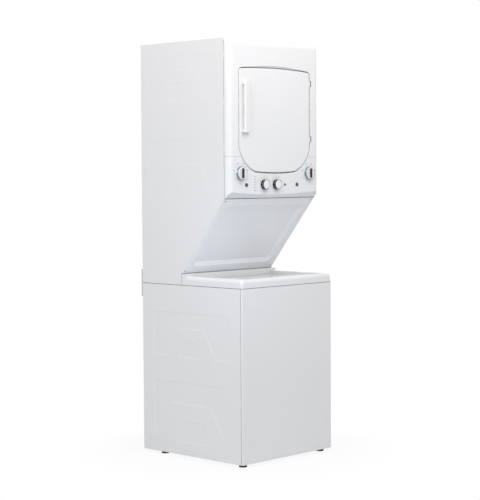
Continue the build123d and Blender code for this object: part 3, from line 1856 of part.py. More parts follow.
with BuildPart() as drum_bearing:
    bar_y(0, drum_z, bearing_radius, rear_bulkhead_y + sheet, rear_bulkhead_y + sheet + bearing_length)
    bar_y(
        0,
        drum_z,
        drum_shaft_radius + shaft_gap,
        rear_bulkhead_y + sheet,
        rear_bulkhead_y + sheet + bearing_length,
        Mode.SUBTRACT,
    )
drum_bearing.part.label = "drum_bearing"
export_step(drum_bearing.part, "parts/drum_bearing.step")

with BuildPart() as heater_box:
    heater_back_y = rear_bulkhead_y + sheet + heater_depth
    span_box(
        heater_x,
        heater_x + heater_width,
        rear_bulkhead_y + sheet,
        heater_back_y,
        heater_z,
        heater_z + heater_height,
    )
    span_box(
        heater_x + sheet,
        heater_x + heater_width - sheet,
        rear_bulkhead_y + sheet,
        heater_back_y - sheet,
        heater_z + sheet,
        heater_z + heater_height - sheet,
        Mode.SUBTRACT,
    )
    for share in heater_rod_shares:
        bar_x(
            rear_bulkhead_y + heater_depth / 2,
            heater_z + share * heater_height,
            heater_rod_radius,
            heater_x,
            heater_x + heater_width,
        )
heater_box.part.label = "heater_box"
export_step(heater_box.part, "parts/heater_box.step")

# Drum with its rear plate, shaft and baffles, which are hollow and open at the back
drum_outer = drum_radius + drum_wall
baffle_front_y = drum_front_y + collar_overlap + baffle_margin


# A section across one baffle, as (X, Z), whose foot follows a rim radius, thinned by a margin all round.
def baffle_section(turn, margin, rim):
    crest = drum_radius - baffle_height + margin
    foot = baffle_half_width - margin
    crown = baffle_half_width / 3 - margin
    corner = (rim**2 - foot**2) ** 0.5
    points = []
    for radius, side in ((corner, -foot), (rim, 0), (corner, foot), (crest, crown), (crest, -crown)):
        points.append(
            (
                radius * cos(radians(turn)) - side * sin(radians(turn)),
                drum_z + radius * sin(radians(turn)) + side * cos(radians(turn)),
            )
        )
    with BuildSketch() as section:
        with BuildLine():
            Polyline(*points, close=True)
        make_face()
    return section.sketch


with BuildPart() as dryer_drum:
    bar_y(0, drum_z, drum_outer, drum_front_y, drum_back_y)
    bar_y(0, drum_z, drum_radius, drum_front_y, drum_back_y - drum_wall, Mode.SUBTRACT)
    bar_y(0, drum_z, drum_shaft_radius, drum_back_y, drum_back_y + drum_shaft_length)
    for baffle in range(baffle_count):
        turn = 360 * baffle / baffle_count + 90
        with BuildSketch(face_plane(baffle_front_y)):
            add(baffle_section(turn, 0, drum_radius + drum_wall / 2))
        extrude(amount=baffle_front_y - drum_back_y + drum_wall)
        with BuildSketch(face_plane(baffle_front_y + baffle_wall)):
            add(baffle_section(turn, baffle_wall, drum_radius - baffle_wall))
        extrude(amount=baffle_front_y + baffle_wall - drum_back_y, mode=Mode.SUBTRACT)
dryer_drum.part.label = "dryer_drum"
export_step(dryer_drum.part, "parts/dryer_drum.step")

# Drum belt round the drum and the motor pulley
belt_back_y = drum_belt_y + drum_belt_width / 2

with BuildPart() as drum_belt:
    with BuildSketch(face_plane(belt_back_y)):
        belt_loop(
            (0, drum_z),
            drum_outer + drum_belt_gap,
            (motor_x, motor_z),
            dryer_pulley_radius + drum_belt_gap,
            drum_belt_thickness,
        )
    extrude(amount=drum_belt_width)
drum_belt.part.label = "drum_belt"
export_step(drum_belt.part, "parts/drum_belt.step")

# Dryer base with the motor cradle and the idler's pivot stud
cradle_ys = (dryer_motor_front + cradle_margin, dryer_motor_back - cradle_margin - cradle_thickness)
arm_front_y = dryer_motor_back + cradle_thickness
arm_back_y = arm_front_y + idler_arm_thickness

with BuildPart() as dryer_base:
    span_box(
        -inner_half,
        inner_half,
        dryer_base_front,
        inner_back,
        dryer_base_z,
        dryer_base_z + dryer_base_rim,
    )
    span_box(
        -inner_half + sheet,
        inner_half - sheet,
        dryer_base_front + sheet,
        inner_back - sheet,
        dryer_base_z + sheet,
        dryer_base_z + dryer_base_rim,
        Mode.SUBTRACT,
    )
    for y in cradle_ys:
        span_box(
            motor_x - cradle_half_width,
            motor_x + cradle_half_width,
            y,
            y + cradle_thickness,
            dryer_base_z + sheet,
            motor_z + cradle_top_rise,
        )
    bar_y(
        motor_x,
        motor_z,
        dryer_motor_radius + slip,
        cradle_ys[0],
        cradle_ys[1] + cradle_thickness,
        Mode.SUBTRACT,
    )
    bar_y(idler_pivot_x, idler_pivot_z, idler_pivot_radius, cradle_ys[1], arm_back_y + sheet)
dryer_base.part.label = "dryer_base"
export_step(dryer_base.part, "parts/dryer_base.step")

with BuildPart() as dryer_motor:
    bar_y(motor_x, motor_z, dryer_motor_radius, dryer_motor_front, dryer_motor_back)
    fillet(dryer_motor.edges(), cradle_thickness)
    bar_y(
        motor_x,
        motor_z,
        dryer_shaft_radius + shaft_gap,
        dryer_motor_front,
        dryer_motor_back,
        Mode.SUBTRACT,
    )
dryer_motor.part.label = "dryer_motor"
export_step(dryer_motor.part, "parts/dryer_motor.step")

# Motor shaft with the belt pulley at its rear end
rim_inner = drum_belt_width / 2 + 2 * sheet
rim_outer = rim_inner + dryer_pulley_rim

with BuildPart() as dryer_motor_pulley:
    bar_y(motor_x, motor_z, dryer_shaft_radius, blower_front + blower_depth / 2, drum_belt_y + rim_outer)
    bar_y(motor_x, motor_z, dryer_pulley_radius, drum_belt_y - rim_inner, drum_belt_y + rim_inner)
    for y in (drum_belt_y - rim_outer, drum_belt_y + rim_inner):
        bar_y(motor_x, motor_z, dryer_pulley_radius + dryer_pulley_rim, y, y + dryer_pulley_rim)
dryer_motor_pulley.part.label = "dryer_motor_pulley"
export_step(dryer_motor_pulley.part, "parts/dryer_motor_pulley.step")

# Idler: the place on the belt's left run that it presses, its arm and its pulley
belt_outer_drum = drum_outer + drum_belt_gap + drum_belt_thickness
belt_outer_pulley = dryer_pulley_radius + drum_belt_gap + drum_belt_thickness
centre_distance = hypot(motor_x, drum_z - motor_z)
run_angle = atan2(motor_z - drum_z, motor_x) - acos((belt_outer_drum - belt_outer_pulley) / centre_distance)
run_start = (belt_outer_drum * cos(run_angle), drum_z + belt_outer_drum * sin(run_angle))
run_end = (motor_x + belt_outer_pulley * cos(run_angle), motor_z + belt_outer_pulley * sin(run_angle))
idler_clear = idler_radius + drum_belt_gap
idler_x = run_start[0] + idler_share * (run_end[0] - run_start[0]) + idler_clear * cos(run_angle)
idler_z = run_start[1] + idler_share * (run_end[1] - run_start[1]) + idler_clear * sin(run_angle)

with BuildPart() as idler_arm:
    with BuildSketch(face_plane(arm_back_y)):
        with Locations((idler_pivot_x, idler_pivot_z), (idler_x, idler_z)):
            Circle(idler_arm_width / 2)
        make_hull()
    extrude(amount=idler_arm_thickness)
    bar_y(idler_x, idler_z, idler_pin_radius, arm_back_y, drum_belt_y + rim_outer)
    bar_y(
        idler_pivot_x, idler_pivot_z, idler_pivot_radius + shaft_gap, arm_front_y, arm_back_y, Mode.SUBTRACT
    )
idler_arm.part.label = "idler_arm"
export_step(idler_arm.part, "parts/idler_arm.step")

with BuildPart() as idler_pulley:
    bar_y(idler_x, idler_z, idler_radius, drum_belt_y - rim_inner, drum_belt_y + rim_inner)
    fillet(idler_pulley.edges(), sheet)
    bar_y(
        idler_x,
        idler_z,
        idler_pin_radius + shaft_gap,
        drum_belt_y - rim_inner,
        drum_belt_y + rim_inner,
        Mode.SUBTRACT,
    )
idler_pulley.part.label = "idler_pulley"
export_step(idler_pulley.part, "parts/idler_pulley.step")

# Blower wheel on the front end of the motor shaft
blower_back = blower_front + blower_depth
blade_inner = blade_share * blower_radius

with BuildPart() as blower_wheel:
    bar_y(motor_x, motor_z, blower_radius, blower_back - 2 * housing_wall, blower_back)
    bar_y(motor_x, motor_z, blower_radius, blower_front, blower_front + 2 * housing_wall)
    bar_y(motor_x, motor_z, blade_inner, blower_front, blower_front + 2 * housing_wall, Mode.SUBTRACT)
    with BuildSketch(face_plane(blower_back)):
        with Locations((motor_x, motor_z)):
            with PolarLocations((blower_radius + blade_inner) / 2, blower_blades):
                Rectangle(blower_radius - blade_inner - housing_wall, housing_wall)
    extrude(amount=blower_depth)
    bar_y(motor_x, motor_z, 2 * dryer_shaft_radius, blower_front + blower_depth / 2, blower_back)
    bar_y(motor_x, motor_z, dryer_shaft_radius + shaft_gap, blower_front, blower_back, Mode.SUBTRACT)
blower_wheel.part.label = "blower_wheel"
export_step(blower_wheel.part, "parts/blower_wheel.step")

# Blower housing with the trap duct that comes down from the lint filter
housing_back = housing_front + housing_depth
outlet_left = exhaust_x - exhaust_radius - 2 * housing_wall
duct_front_y = recess_back_y + duct_front_gap
duct_rear_y = bulkhead_y - duct_front_gap
duct_top_z = opening_bottom_z - housing_wall

with BuildPart() as blower_housing:
    with BuildSketch(side_plane(-duct_half_width)) as duct_side:
        with BuildLine():
            Polyline(
                (duct_front_y, duct_top_z),
                (duct_rear_y, duct_top_z),
                (duct_rear_y, duct_knee_z),
                (housing_front, motor_z + duct_mouth_high),
                (housing_front, motor_z - duct_mouth_low),
                (duct_front_y, duct_foot_z),
                close=True,
            )
        make_face()
    extrude(amount=2 * duct_half_width)
    bar_y(motor_x, motor_z, housing_radius, housing_front, housing_back)
    span_box(
        outlet_left,
        motor_x,
        housing_front,
        housing_back,
        motor_z - housing_radius,
        motor_z + housing_wall,
    )
    bar_y(
        motor_x,
        motor_z,
        housing_radius - housing_wall,
        housing_front + housing_wall,
        housing_back - housing_wall,
        Mode.SUBTRACT,
    )
    span_box(
        outlet_left + housing_wall,
        motor_x,
        housing_front + housing_wall,
        housing_back - housing_wall,
        motor_z - housing_radius + housing_wall,
        motor_z,
        Mode.SUBTRACT,
    )
    with BuildSketch(side_plane(-duct_half_width + housing_wall)):
        add(duct_side.sketch_local)
        offset(amount=-housing_wall, mode=Mode.REPLACE)
    extrude(amount=2 * (duct_half_width - housing_wall), mode=Mode.SUBTRACT)
    span_box(
        -duct_half_width + housing_wall,
        duct_half_width - housing_wall,
        duct_front_y + housing_wall,
        duct_rear_y - housing_wall,
        duct_knee_z,
        duct_top_z,
        Mode.SUBTRACT,
    )
    bar_y(
        motor_x,
        motor_z,
        inlet_hole_radius,
        housing_front - 2 * housing_wall,
        housing_front + housing_wall,
        Mode.SUBTRACT,
    )
    bar_y(
        motor_x,
        motor_z,
        2 * dryer_shaft_radius,
        housing_back - housing_wall,
        housing_back,
        Mode.SUBTRACT,
    )
    bar_y(
        exhaust_x,
        exhaust_z,
        exhaust_radius - exhaust_wall,
        housing_back - housing_wall,
        housing_back,
        Mode.SUBTRACT,
    )
blower_housing.part.label = "blower_housing"
export_step(blower_housing.part, "parts/blower_housing.step")

with BuildPart() as exhaust_duct:
    duct_tip_y = back_y + rear_reach
    bar_y(exhaust_x, exhaust_z, exhaust_radius, housing_back, duct_tip_y)
    bar_y(exhaust_x, exhaust_z, exhaust_collar_radius, back_y + tail_gap, duct_tip_y)
    bar_y(exhaust_x, exhaust_z, exhaust_radius - exhaust_wall, housing_back, duct_tip_y, Mode.SUBTRACT)
exhaust_duct.part.label = "exhaust_duct"
export_step(exhaust_duct.part, "parts/exhaust_duct.step")

# Lint filter: a framed screen that slides in the duct, with a lip to lift it by
filter_half = duct_half_width - housing_wall - slip
filter_y = (duct_front_y + duct_rear_y) / 2
filter_top_z = duct_top_z + filter_rise

with BuildPart() as lint_filter:
    span_box(
        -filter_half,
        filter_half,
        filter_y - filter_thickness / 2,
        filter_y + filter_thickness / 2,
        filter_top_z - filter_depth,
        filter_top_z,
    )
    for face, depth in ((filter_y - filter_thickness / 2, 1), (filter_y + filter_thickness / 2, -1)):
        with BuildSketch(face_plane(face)):
            with Locations((0, filter_top_z - filter_depth / 2)):
                with GridLocations(filter_half, 0, 2, 1):
                    Rectangle(filter_half - 2 * filter_thickness, filter_depth - 3 * filter_thickness)
        extrude(amount=-depth * (filter_thickness - filter_screen) / 2, mode=Mode.SUBTRACT)
    span_box(
        -filter_depth / 2,
        filter_depth / 2,
        filter_y - filter_lip_half,
        filter_y + filter_lip_half,
        filter_top_z - filter_lip_height / 2,
        filter_top_z + filter_lip_height / 2,
    )
lint_filter.part.label = "lint_filter"
export_step(lint_filter.part, "parts/lint_filter.step")

# Knobs on their shafts, just clear of the panel
knob_back_y = dryer_front_y - slip


def make_knob(x, z, radius, height, grip_width, grip_height):
    with BuildPart() as knob:
        bar_y(x, z, radius, knob_back_y - height, knob_back_y)
        fillet(knob.faces().sort_by(Axis.Y)[0].edges(), knob_edge_radius)
        span_box(
            x - grip_width / 2,
            x + grip_width / 2,
            knob_back_y - height - grip_height,
            knob_back_y - height,
            z - radius + grip_end_margin,
            z + radius - grip_end_margin,
        )
        bar_y(x, z, knob_shaft_radius, knob_back_y, knob_back_y + knob_shaft_length)
    return knob


washer_cycle_knob = make_knob(
    -cycle_knob_x, cycle_knob_z, cycle_knob_radius, cycle_knob_height, cycle_grip_width, cycle_grip_height
)
washer_cycle_knob.part.label = "washer_cycle_knob"
export_step(washer_cycle_knob.part, "parts/washer_cycle_knob.step")

dryer_cycle_knob = make_knob(
    cycle_knob_x, cycle_knob_z, cycle_knob_radius, cycle_knob_height, cycle_grip_width, cycle_grip_height
)
dryer_cycle_knob.part.label = "dryer_cycle_knob"
export_step(dryer_cycle_knob.part, "parts/dryer_cycle_knob.step")

load_size_knob = make_knob(
    load_knob_x, small_knob_z, small_knob_radius, small_knob_height, small_grip_width, small_grip_height
)
load_size_knob.part.label = "load_size_knob"
export_step(load_size_knob.part, "parts/load_size_knob.step")

temperature_knob = make_knob(
    temperature_knob_x,
    small_knob_z,
    small_knob_radius,
    small_knob_height,
    small_grip_width,
    small_grip_height,
)
temperature_knob.part.label = "temperature_knob"
export_step(temperature_knob.part, "parts/temperature_knob.step")

# Start buttons, whose caps pass through the panel
panel_inner_y = dryer_front_y + panel_wall
cap_back_y = panel_inner_y - 2 * slip


def make_button(x):
    with BuildPart() as button:
        bar_y(x, button_z, button_radius, dryer_front_y - button_height, cap_back_y)
        fillet(button.faces().sort_by(Axis.Y)[0].edges(), button_edge_radius)
        bar_y(x, button_z, button_stem_radius, cap_back_y, cap_back_y + button_stem_length - button_travel)
    return button


washer_start_button = make_button(washer_button_x)
washer_start_button.part.label = "washer_start_button"
export_step(washer_start_button.part, "parts/washer_start_button.step")

dryer_start_button = make_button(dryer_button_x)
dryer_start_button.part.label = "dryer_start_button"
export_step(dryer_start_button.part, "parts/dryer_start_button.step")

with BuildPart() as indicator_lenses:
    for x, z in light_places:
        bar_y(x, z, light_radius, dryer_front_y - light_proud, panel_inner_y)
    bar_y(lamp_x, button_z, lamp_radius, dryer_front_y - light_proud, panel_inner_y)
indicator_lenses.part.label = "indicator_lenses"
export_step(indicator_lenses.part, "parts/indicator_lenses.step")


# Timers, selector switches and push switches behind the panel, each on its shaft or stem.
def switch_body(x, z, size, bore):
    width, depth, height = size
    span_box(
        x - width / 2,
        x + width / 2,
        panel_inner_y,
        panel_inner_y + depth,
        z - height / 2,
        z + height / 2,
    )
    bar_y(x, z, bore + shaft_gap, panel_inner_y, panel_inner_y + depth, Mode.SUBTRACT)


with BuildPart() as control_switches:
    for x in (-cycle_knob_x, cycle_knob_x):
        switch_body(x, cycle_knob_z, timer_size, knob_shaft_radius)
    for x in selector_xs:
        switch_body(x, small_knob_z, selector_size, knob_shaft_radius)
    for x in button_xs:
        switch_body(x, button_z, push_size, button_stem_radius)
        bar_y(
            x,
            button_z,
            button_radius + slip,
            panel_inner_y,
            panel_inner_y + button_travel + slip,
            Mode.SUBTRACT,
        )
control_switches.part.label = "control_switches"
export_step(control_switches.part, "parts/control_switches.step")
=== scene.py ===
import json
import math

import bmesh
import bpy
from mathutils import Matrix, Vector


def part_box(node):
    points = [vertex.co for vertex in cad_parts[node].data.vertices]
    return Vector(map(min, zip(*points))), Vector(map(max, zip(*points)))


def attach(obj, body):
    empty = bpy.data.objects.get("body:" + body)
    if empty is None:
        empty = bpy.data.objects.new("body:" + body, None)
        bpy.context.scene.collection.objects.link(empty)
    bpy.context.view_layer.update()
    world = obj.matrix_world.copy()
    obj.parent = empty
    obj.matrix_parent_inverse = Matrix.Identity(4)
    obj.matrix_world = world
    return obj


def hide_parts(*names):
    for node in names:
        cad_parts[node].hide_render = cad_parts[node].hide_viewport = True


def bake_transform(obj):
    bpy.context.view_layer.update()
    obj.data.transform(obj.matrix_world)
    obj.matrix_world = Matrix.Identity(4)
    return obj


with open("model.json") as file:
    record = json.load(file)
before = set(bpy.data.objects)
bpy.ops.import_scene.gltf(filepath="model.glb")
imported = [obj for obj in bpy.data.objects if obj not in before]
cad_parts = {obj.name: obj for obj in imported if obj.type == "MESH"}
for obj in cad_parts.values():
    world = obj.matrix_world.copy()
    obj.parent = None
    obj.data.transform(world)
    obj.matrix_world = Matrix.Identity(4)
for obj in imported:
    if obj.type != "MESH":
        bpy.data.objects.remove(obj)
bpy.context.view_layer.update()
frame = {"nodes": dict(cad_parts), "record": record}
scene = bpy.context.scene
nodes = frame["nodes"]
slotOf = {part["node"]: part["material_slot"] for part in frame["record"]["subparts"]}
print("frame loaded:", len(nodes), "nodes")

# camera, from a fit of the cabinet's corners in the photograph
cameraView = {
    "place": (-4.9703, -4.8092, 1.2975),
    "azimuth": -46.208,
    "pitch": -2.895,
    "roll": -0.342,
    "lens": 106.13,
    "sensor": 36.0,
}


def aimCamera(view):
    az, pitch, roll = (math.radians(view[k]) for k in ("azimuth", "pitch", "roll"))
    forward = Vector((-math.sin(az) * math.cos(pitch), math.cos(az) * math.cos(pitch), math.sin(pitch)))
    right = Vector((math.cos(az), math.sin(az), 0))
    up = right.cross(forward)
    rolledRight = right * math.cos(roll) + up * math.sin(roll)
    rolledUp = up * math.cos(roll) - right * math.sin(roll)
    data = bpy.data.cameras.new("photoCamera")
    data.lens = view["lens"]
    data.sensor_width = view["sensor"]
    camera = bpy.data.objects.new("photoCamera", data)
    turn = Matrix((rolledRight, rolledUp, -forward)).transposed().to_4x4()
    camera.matrix_world = Matrix.Translation(view["place"]) @ turn
    scene.collection.objects.link(camera)
    scene.camera = camera


aimCamera(cameraView)
scene.view_settings.view_transform = "Standard"
print("camera set")

# studio: a white floor and sky, a big soft key above the front, a fill on the left, and two small
# bluish cards low on the left, the second of which lights the sloped panel alone
studio = {
    "floorSize": 40.0,
    "floorWhite": (0.86, 0.88, 0.91, 1),
    "nearShow": 0.90,  # share of plain white that the camera sees on the floor by the feet
    "nearReach": 0.42,
    "farReach": 0.85,
    "skyLight": 0.48,
    "skyTint": (1.0, 0.99, 0.99, 1),
    "cardSpread": 1.3,
}
lamps = {  # power, size, place, aim, tint
    "keyLamp": (31.5, 1.7, (-0.4, -1.75, 2.95), (0, -0.2, 1.7), (1, 1, 1)),
    "fillLamp": (37.0, 2.0, (-2.8, -0.55, 3.0), (-0.3, 0, 1.4), (1, 1, 1)),
    "frontCard": (0.22, 0.5, (-0.95, -0.85, 0.93), (0.05, -0.1, 1.0), (0.44, 0.69, 1.0)),
    "slopeCard": (0.50, 0.4, (-0.95, -0.55, 0.86), (0.05, 0.08, 0.90), (0.66, 0.80, 1.0)),
}


def addNode(tree, kind, at, **sockets):
    node = tree.nodes.new(kind)
    node.location = at
    for name, value in sockets.items():
        node.inputs[name.replace("_", " ")].default_value = value
    return node


def mathNode(tree, operation, at, first, second):
    node = addNode(tree, "ShaderNodeMath", at)
    node.operation = operation
    for index, value in enumerate((first, second)):
        if isinstance(value, (int, float)):
            node.inputs[index].default_value = value
        else:
            tree.links.new(value, node.inputs[index])
    return node.outputs[0]


def seenWhite(tree, at):
    # one where the camera, a mirror reflection or glass looks, zero for plain light
    path = addNode(tree, "ShaderNodeLightPath", at)
    camera, mirror = path.outputs["Is Camera Ray"], path.outputs["Is Glossy Ray"]
    seen = mathNode(tree, "MAXIMUM", (at[0] + 180, at[1]), camera, mirror)
    return mathNode(tree, "MAXIMUM", (at[0] + 360, at[1]), seen, path.outputs["Is Transmission Ray"])


def softLamp(name):
    power, size, place, aim, tint = lamps[name]
    data = bpy.data.lights.new(name, "AREA")
    data.energy = power
    data.shape = "SQUARE"
    data.size = size
    data.color = tint
    lamp = bpy.data.objects.new(name, data)
    lamp.location = place
    lamp.rotation_euler = (Vector(aim) - Vector(place)).to_track_quat("-Z", "Y").to_euler()
    scene.collection.objects.link(lamp)
    return lamp


def buildStudio(s):
    world = bpy.data.worlds.new("studioSky")
    scene.world = world
    world.use_nodes = True
    tree = world.node_tree
    tree.nodes.clear()
    light = addNode(tree, "ShaderNodeBackground", (0, 100), Color=s["skyTint"], Strength=s["skyLight"])
    shown = addNode(tree, "ShaderNodeBackground", (0, -100), Color=(1, 1, 1, 1), Strength=1.0)
    mix = addNode(tree, "ShaderNodeMixShader", (300, 0))
    out = addNode(tree, "ShaderNodeOutputWorld", (500, 0))
    tree.links.new(seenWhite(tree, (-600, 0)), mix.inputs[0])
    tree.links.new(light.outputs[0], mix.inputs[1])
    tree.links.new(shown.outputs[0], mix.inputs[2])
    tree.links.new(mix.outputs[0], out.inputs[0])

    bm = bmesh.new()
    bmesh.ops.create_grid(bm, x_segments=1, y_segments=1, size=s["floorSize"] / 2)
    mesh = bpy.data.meshes.new("studioFloor")
    bm.to_mesh(mesh)
    bm.free()
    floor = bpy.data.objects.new("studioFloor", mesh)
    scene.collection.objects.link(floor)
    paper = bpy.data.materials.new("paperFloor")
    paper.use_nodes = True
    tree = paper.node_tree
    tree.nodes.clear()
    matt = addNode(tree, "ShaderNodeBsdfDiffuse", (0, 100), Color=s["floorWhite"])
    white = addNode(tree, "ShaderNodeEmission", (0, -100), Color=(1, 1, 1, 1), Strength=1.0)
    coords = addNode(tree, "ShaderNodeTexCoord", (-900, 400))
    reach = addNode(tree, "ShaderNodeVectorMath", (-700, 400))
    reach.operation = "LENGTH"
    tree.links.new(coords.outputs["Object"], reach.inputs[0])
    fade = addNode(tree, "ShaderNodeMapRange", (-400, 400))
    fade.interpolation_type = "SMOOTHSTEP"
    for label, value in (
        ("From Min", s["nearReach"]),
        ("From Max", s["farReach"]),
        ("To Min", s["nearShow"]),
        ("To Max", 1.0),
    ):
        fade.inputs[label].default_value = value
    tree.links.new(reach.outputs["Value"], fade.inputs["Value"])
    share = mathNode(tree, "MULTIPLY", (0, 300), seenWhite(tree, (-600, 0)), fade.outputs["Result"])
    mix = addNode(tree, "ShaderNodeMixShader", (300, 0))
    out = addNode(tree, "ShaderNodeOutputMaterial", (500, 0))
    tree.links.new(share, mix.inputs[0])
    tree.links.new(matt.outputs[0], mix.inputs[1])
    tree.links.new(white.outputs[0], mix.inputs[2])
    tree.links.new(mix.outputs[0], out.inputs[0])
    mesh.materials.append(paper)
    softLamp("keyLamp")
    softLamp("fillLamp")
    for name in ("frontCard", "slopeCard"):
        card = softLamp(name)
        card.data.spread = s["cardSpread"]
        card.visible_camera = False
        card.visible_glossy = False
    slopeLit = bpy.data.collections.new("slopeLit")
    slopeLit.objects.link(nodes["sloped_panel"])
    card.light_linking.receiver_collection = slopeLit


buildStudio(studio)
print("studio ready")


# shader effects that several finishes share
effect = {
    "rippleShare": 0.12,  # the slow ripple's scale as a share of the fine grain's
    "dustScale": 90.0,
    "flakeRough": (0.12, 0.38),  # share of the flakes' mask, and the least
    "lineScale": 40.0,
    "lineStretch": (3.0, 3.0, 90.0),
    "lineCloud": 25.0,
    "lineMix": 2.0,
    "lineRough": 0.2,
    "gritPatch": 14.0,
    "gritMix": 2.2,
    "gritRough": 0.18,
    "coatHeight": 0.0004,  # metres of bump at full strength
    "grainHeight": 0.0003,
}


def newGroup(name, inputs, outputs):
    group = bpy.data.node_groups.new(name, "ShaderNodeTree")
    for label, kind, value in inputs:
        socket = group.interface.new_socket(label, in_out="INPUT", socket_type=kind)
        socket.default_value = value
    for label, kind in outputs:
        group.interface.new_socket(label, in_out="OUTPUT", socket_type=kind)
    start = addNode(group, "NodeGroupInput", (-900, 0))
    end = addNode(group, "NodeGroupOutput", (900, 0))
    return group, start, end


def mixColour(tree, at, factor, first, second):
    # a Mix node has its colours on sockets 6 and 7, and its mixed colour on socket 2
    node = addNode(tree, "ShaderNodeMix", at)
    node.data_type = "RGBA"
    for socket, value in ((node.inputs[0], factor), (node.inputs[6], first), (node.inputs[7], second)):
        if isinstance(value, (int, float, tuple)):
            socket.default_value = value
        else:
            tree.links.new(value, socket)
    return node.outputs[2]


def objectNoise(tree, at, scale, detail=2.0, stretch=None):
    coords = addNode(tree, "ShaderNodeTexCoord", (at[0] - 400, at[1]))
    noise = addNode(tree, "ShaderNodeTexNoise", at, Detail=detail)
    source = coords.outputs["Object"]
    if stretch:
        mapping = addNode(tree, "ShaderNodeMapping", (at[0] - 200, at[1]), Scale=stretch)
        tree.links.new(source, mapping.inputs["Vector"])
        source = mapping.outputs["Vector"]
    tree.links.new(source, noise.inputs["Vector"])
    if isinstance(scale, (int, float)):
        noise.inputs["Scale"].default_value = scale
    else:
        tree.links.new(scale, noise.inputs["Scale"])
    return noise.outputs["Fac"]


def makeSprayPeel():
    # the low ripple of sprayed enamel over a finer grain
    group, start, end = newGroup(
        "sprayPeel",
        [("Scale", "NodeSocketFloat", 260.0), ("Ripple", "NodeSocketFloat", 0.7)],
        [("Height", "NodeSocketFloat")],
    )
    fine = objectNoise(group, (-300, 200), start.outputs["Scale"], detail=1.0)
    slow = mathNode(group, "MULTIPLY", (-500, -200), start.outputs["Scale"], effect["rippleShare"])
    wide = objectNoise(group, (-300, -200), slow, detail=1.0)
    wide = mathNode(group, "MULTIPLY", (0, -200), wide, start.outputs["Ripple"])
    group.links.new(mathNode(group, "ADD", (300, 0), fine, wide), end.inputs["Height"])
    return group


def makeHandling():
    # faint clouding of colour and gloss, with dust on faces that look up
    group, start, end = newGroup(
        "handling",
        [
            ("Colour", "NodeSocketColor", (0.8, 0.8, 0.8, 1)),
            ("Soil", "NodeSocketColor", (0.5, 0.48, 0.45, 1)),
            ("Amount", "NodeSocketFloat", 0.05),
            ("Scale", "NodeSocketFloat", 4.0),
            ("Gloss", "NodeSocketFloat", 0.3),
            ("Spread", "NodeSocketFloat", 0.08),
        ],
        [("Colour", "NodeSocketColor"), ("Roughness", "NodeSocketFloat")],
    )
    cloud = objectNoise(group, (-300, 300), start.outputs["Scale"], detail=5.0)
    speck = objectNoise(group, (-300, -300), effect["dustScale"], detail=3.0)
    geometry = addNode(group, "ShaderNodeNewGeometry", (-700, -500))
    facing = addNode(group, "ShaderNodeSeparateXYZ", (-500, -500))
    group.links.new(geometry.outputs["Normal"], facing.inputs[0])
    upward = mathNode(group, "MAXIMUM", (-300, -500), facing.outputs["Z"], 0.0)
    dust = mathNode(group, "MULTIPLY", (-100, -400), upward, speck)
    soil = mathNode(group, "ADD", (100, 0), cloud, dust)
    soil = mathNode(group, "MULTIPLY", (300, 0), soil, start.outputs["Amount"])
    colour = mixColour(group, (550, 200), soil, start.outputs["Colour"], start.outputs["Soil"])
    group.links.new(colour, end.inputs["Colour"])
    swing = mathNode(group, "SUBTRACT", (100, -200), cloud, 0.5)
    swing = mathNode(group, "MULTIPLY", (300, -200), swing, start.outputs["Spread"])
    rough = mathNode(group, "ADD", (550, -200), swing, start.outputs["Gloss"])
    group.links.new(rough, end.inputs["Roughness"])
    return group


def makeZincSpangle():
    # the crystal flakes of hot dipped sheet
    group, start, end = newGroup(
        "zincSpangle",
        [
            ("Bright", "NodeSocketColor", (0.58, 0.60, 0.61, 1)),
            ("Dull", "NodeSocketColor", (0.50, 0.52, 0.54, 1)),
            ("Scale", "NodeSocketFloat", 70.0),
        ],
        [("Colour", "NodeSocketColor"), ("Roughness", "NodeSocketFloat"), ("Height", "NodeSocketFloat")],
    )
    coords = addNode(group, "ShaderNodeTexCoord", (-700, 0))
    flakes = addNode(group, "ShaderNodeTexVoronoi", (-400, 0))
    group.links.new(coords.outputs["Object"], flakes.inputs["Vector"])
    group.links.new(start.outputs["Scale"], flakes.inputs["Scale"])
    shade = addNode(group, "ShaderNodeSeparateColor", (-150, 100))
    group.links.new(flakes.outputs["Color"], shade.inputs[0])
    bright, dull = start.outputs["Bright"], start.outputs["Dull"]
    colour = mixColour(group, (200, 200), shade.outputs[0], bright, dull)
    group.links.new(colour, end.inputs["Colour"])
    share, least = effect["flakeRough"]
    rough = mathNode(group, "MULTIPLY", (200, -100), shade.outputs[1], share)
    group.links.new(mathNode(group, "ADD", (400, -100), rough, least), end.inputs["Roughness"])
    group.links.new(shade.outputs[2], end.inputs["Height"])
    return group


def makeDrawnGrain():
    # fine lines left by drawing, turning or moulding, along one axis
    group, start, end = newGroup(
        "drawnGrain",
        [
            ("Light", "NodeSocketColor", (0.65, 0.66, 0.67, 1)),
            ("Dark", "NodeSocketColor", (0.45, 0.46, 0.47, 1)),
            ("Gloss", "NodeSocketFloat", 0.3),
        ],
        [("Colour", "NodeSocketColor"), ("Roughness", "NodeSocketFloat"), ("Height", "NodeSocketFloat")],
    )
    lines = objectNoise(group, (-300, 100), effect["lineScale"], detail=4.0, stretch=effect["lineStretch"])
    cloud = objectNoise(group, (-300, -200), effect["lineCloud"], detail=3.0)
    blend = mathNode(group, "MULTIPLY", (0, 0), lines, cloud)
    blend = mathNode(group, "MULTIPLY", (150, 0), blend, effect["lineMix"])
    colour = mixColour(group, (400, 200), blend, start.outputs["Light"], start.outputs["Dark"])
    group.links.new(colour, end.inputs["Colour"])
    rough = mathNode(group, "MULTIPLY", (300, -200), cloud, effect["lineRough"])
    rough = mathNode(group, "ADD", (500, -200), rough, start.outputs["Gloss"])
    group.links.new(rough, end.inputs["Roughness"])
    group.links.new(lines, end.inputs["Height"])
    return group


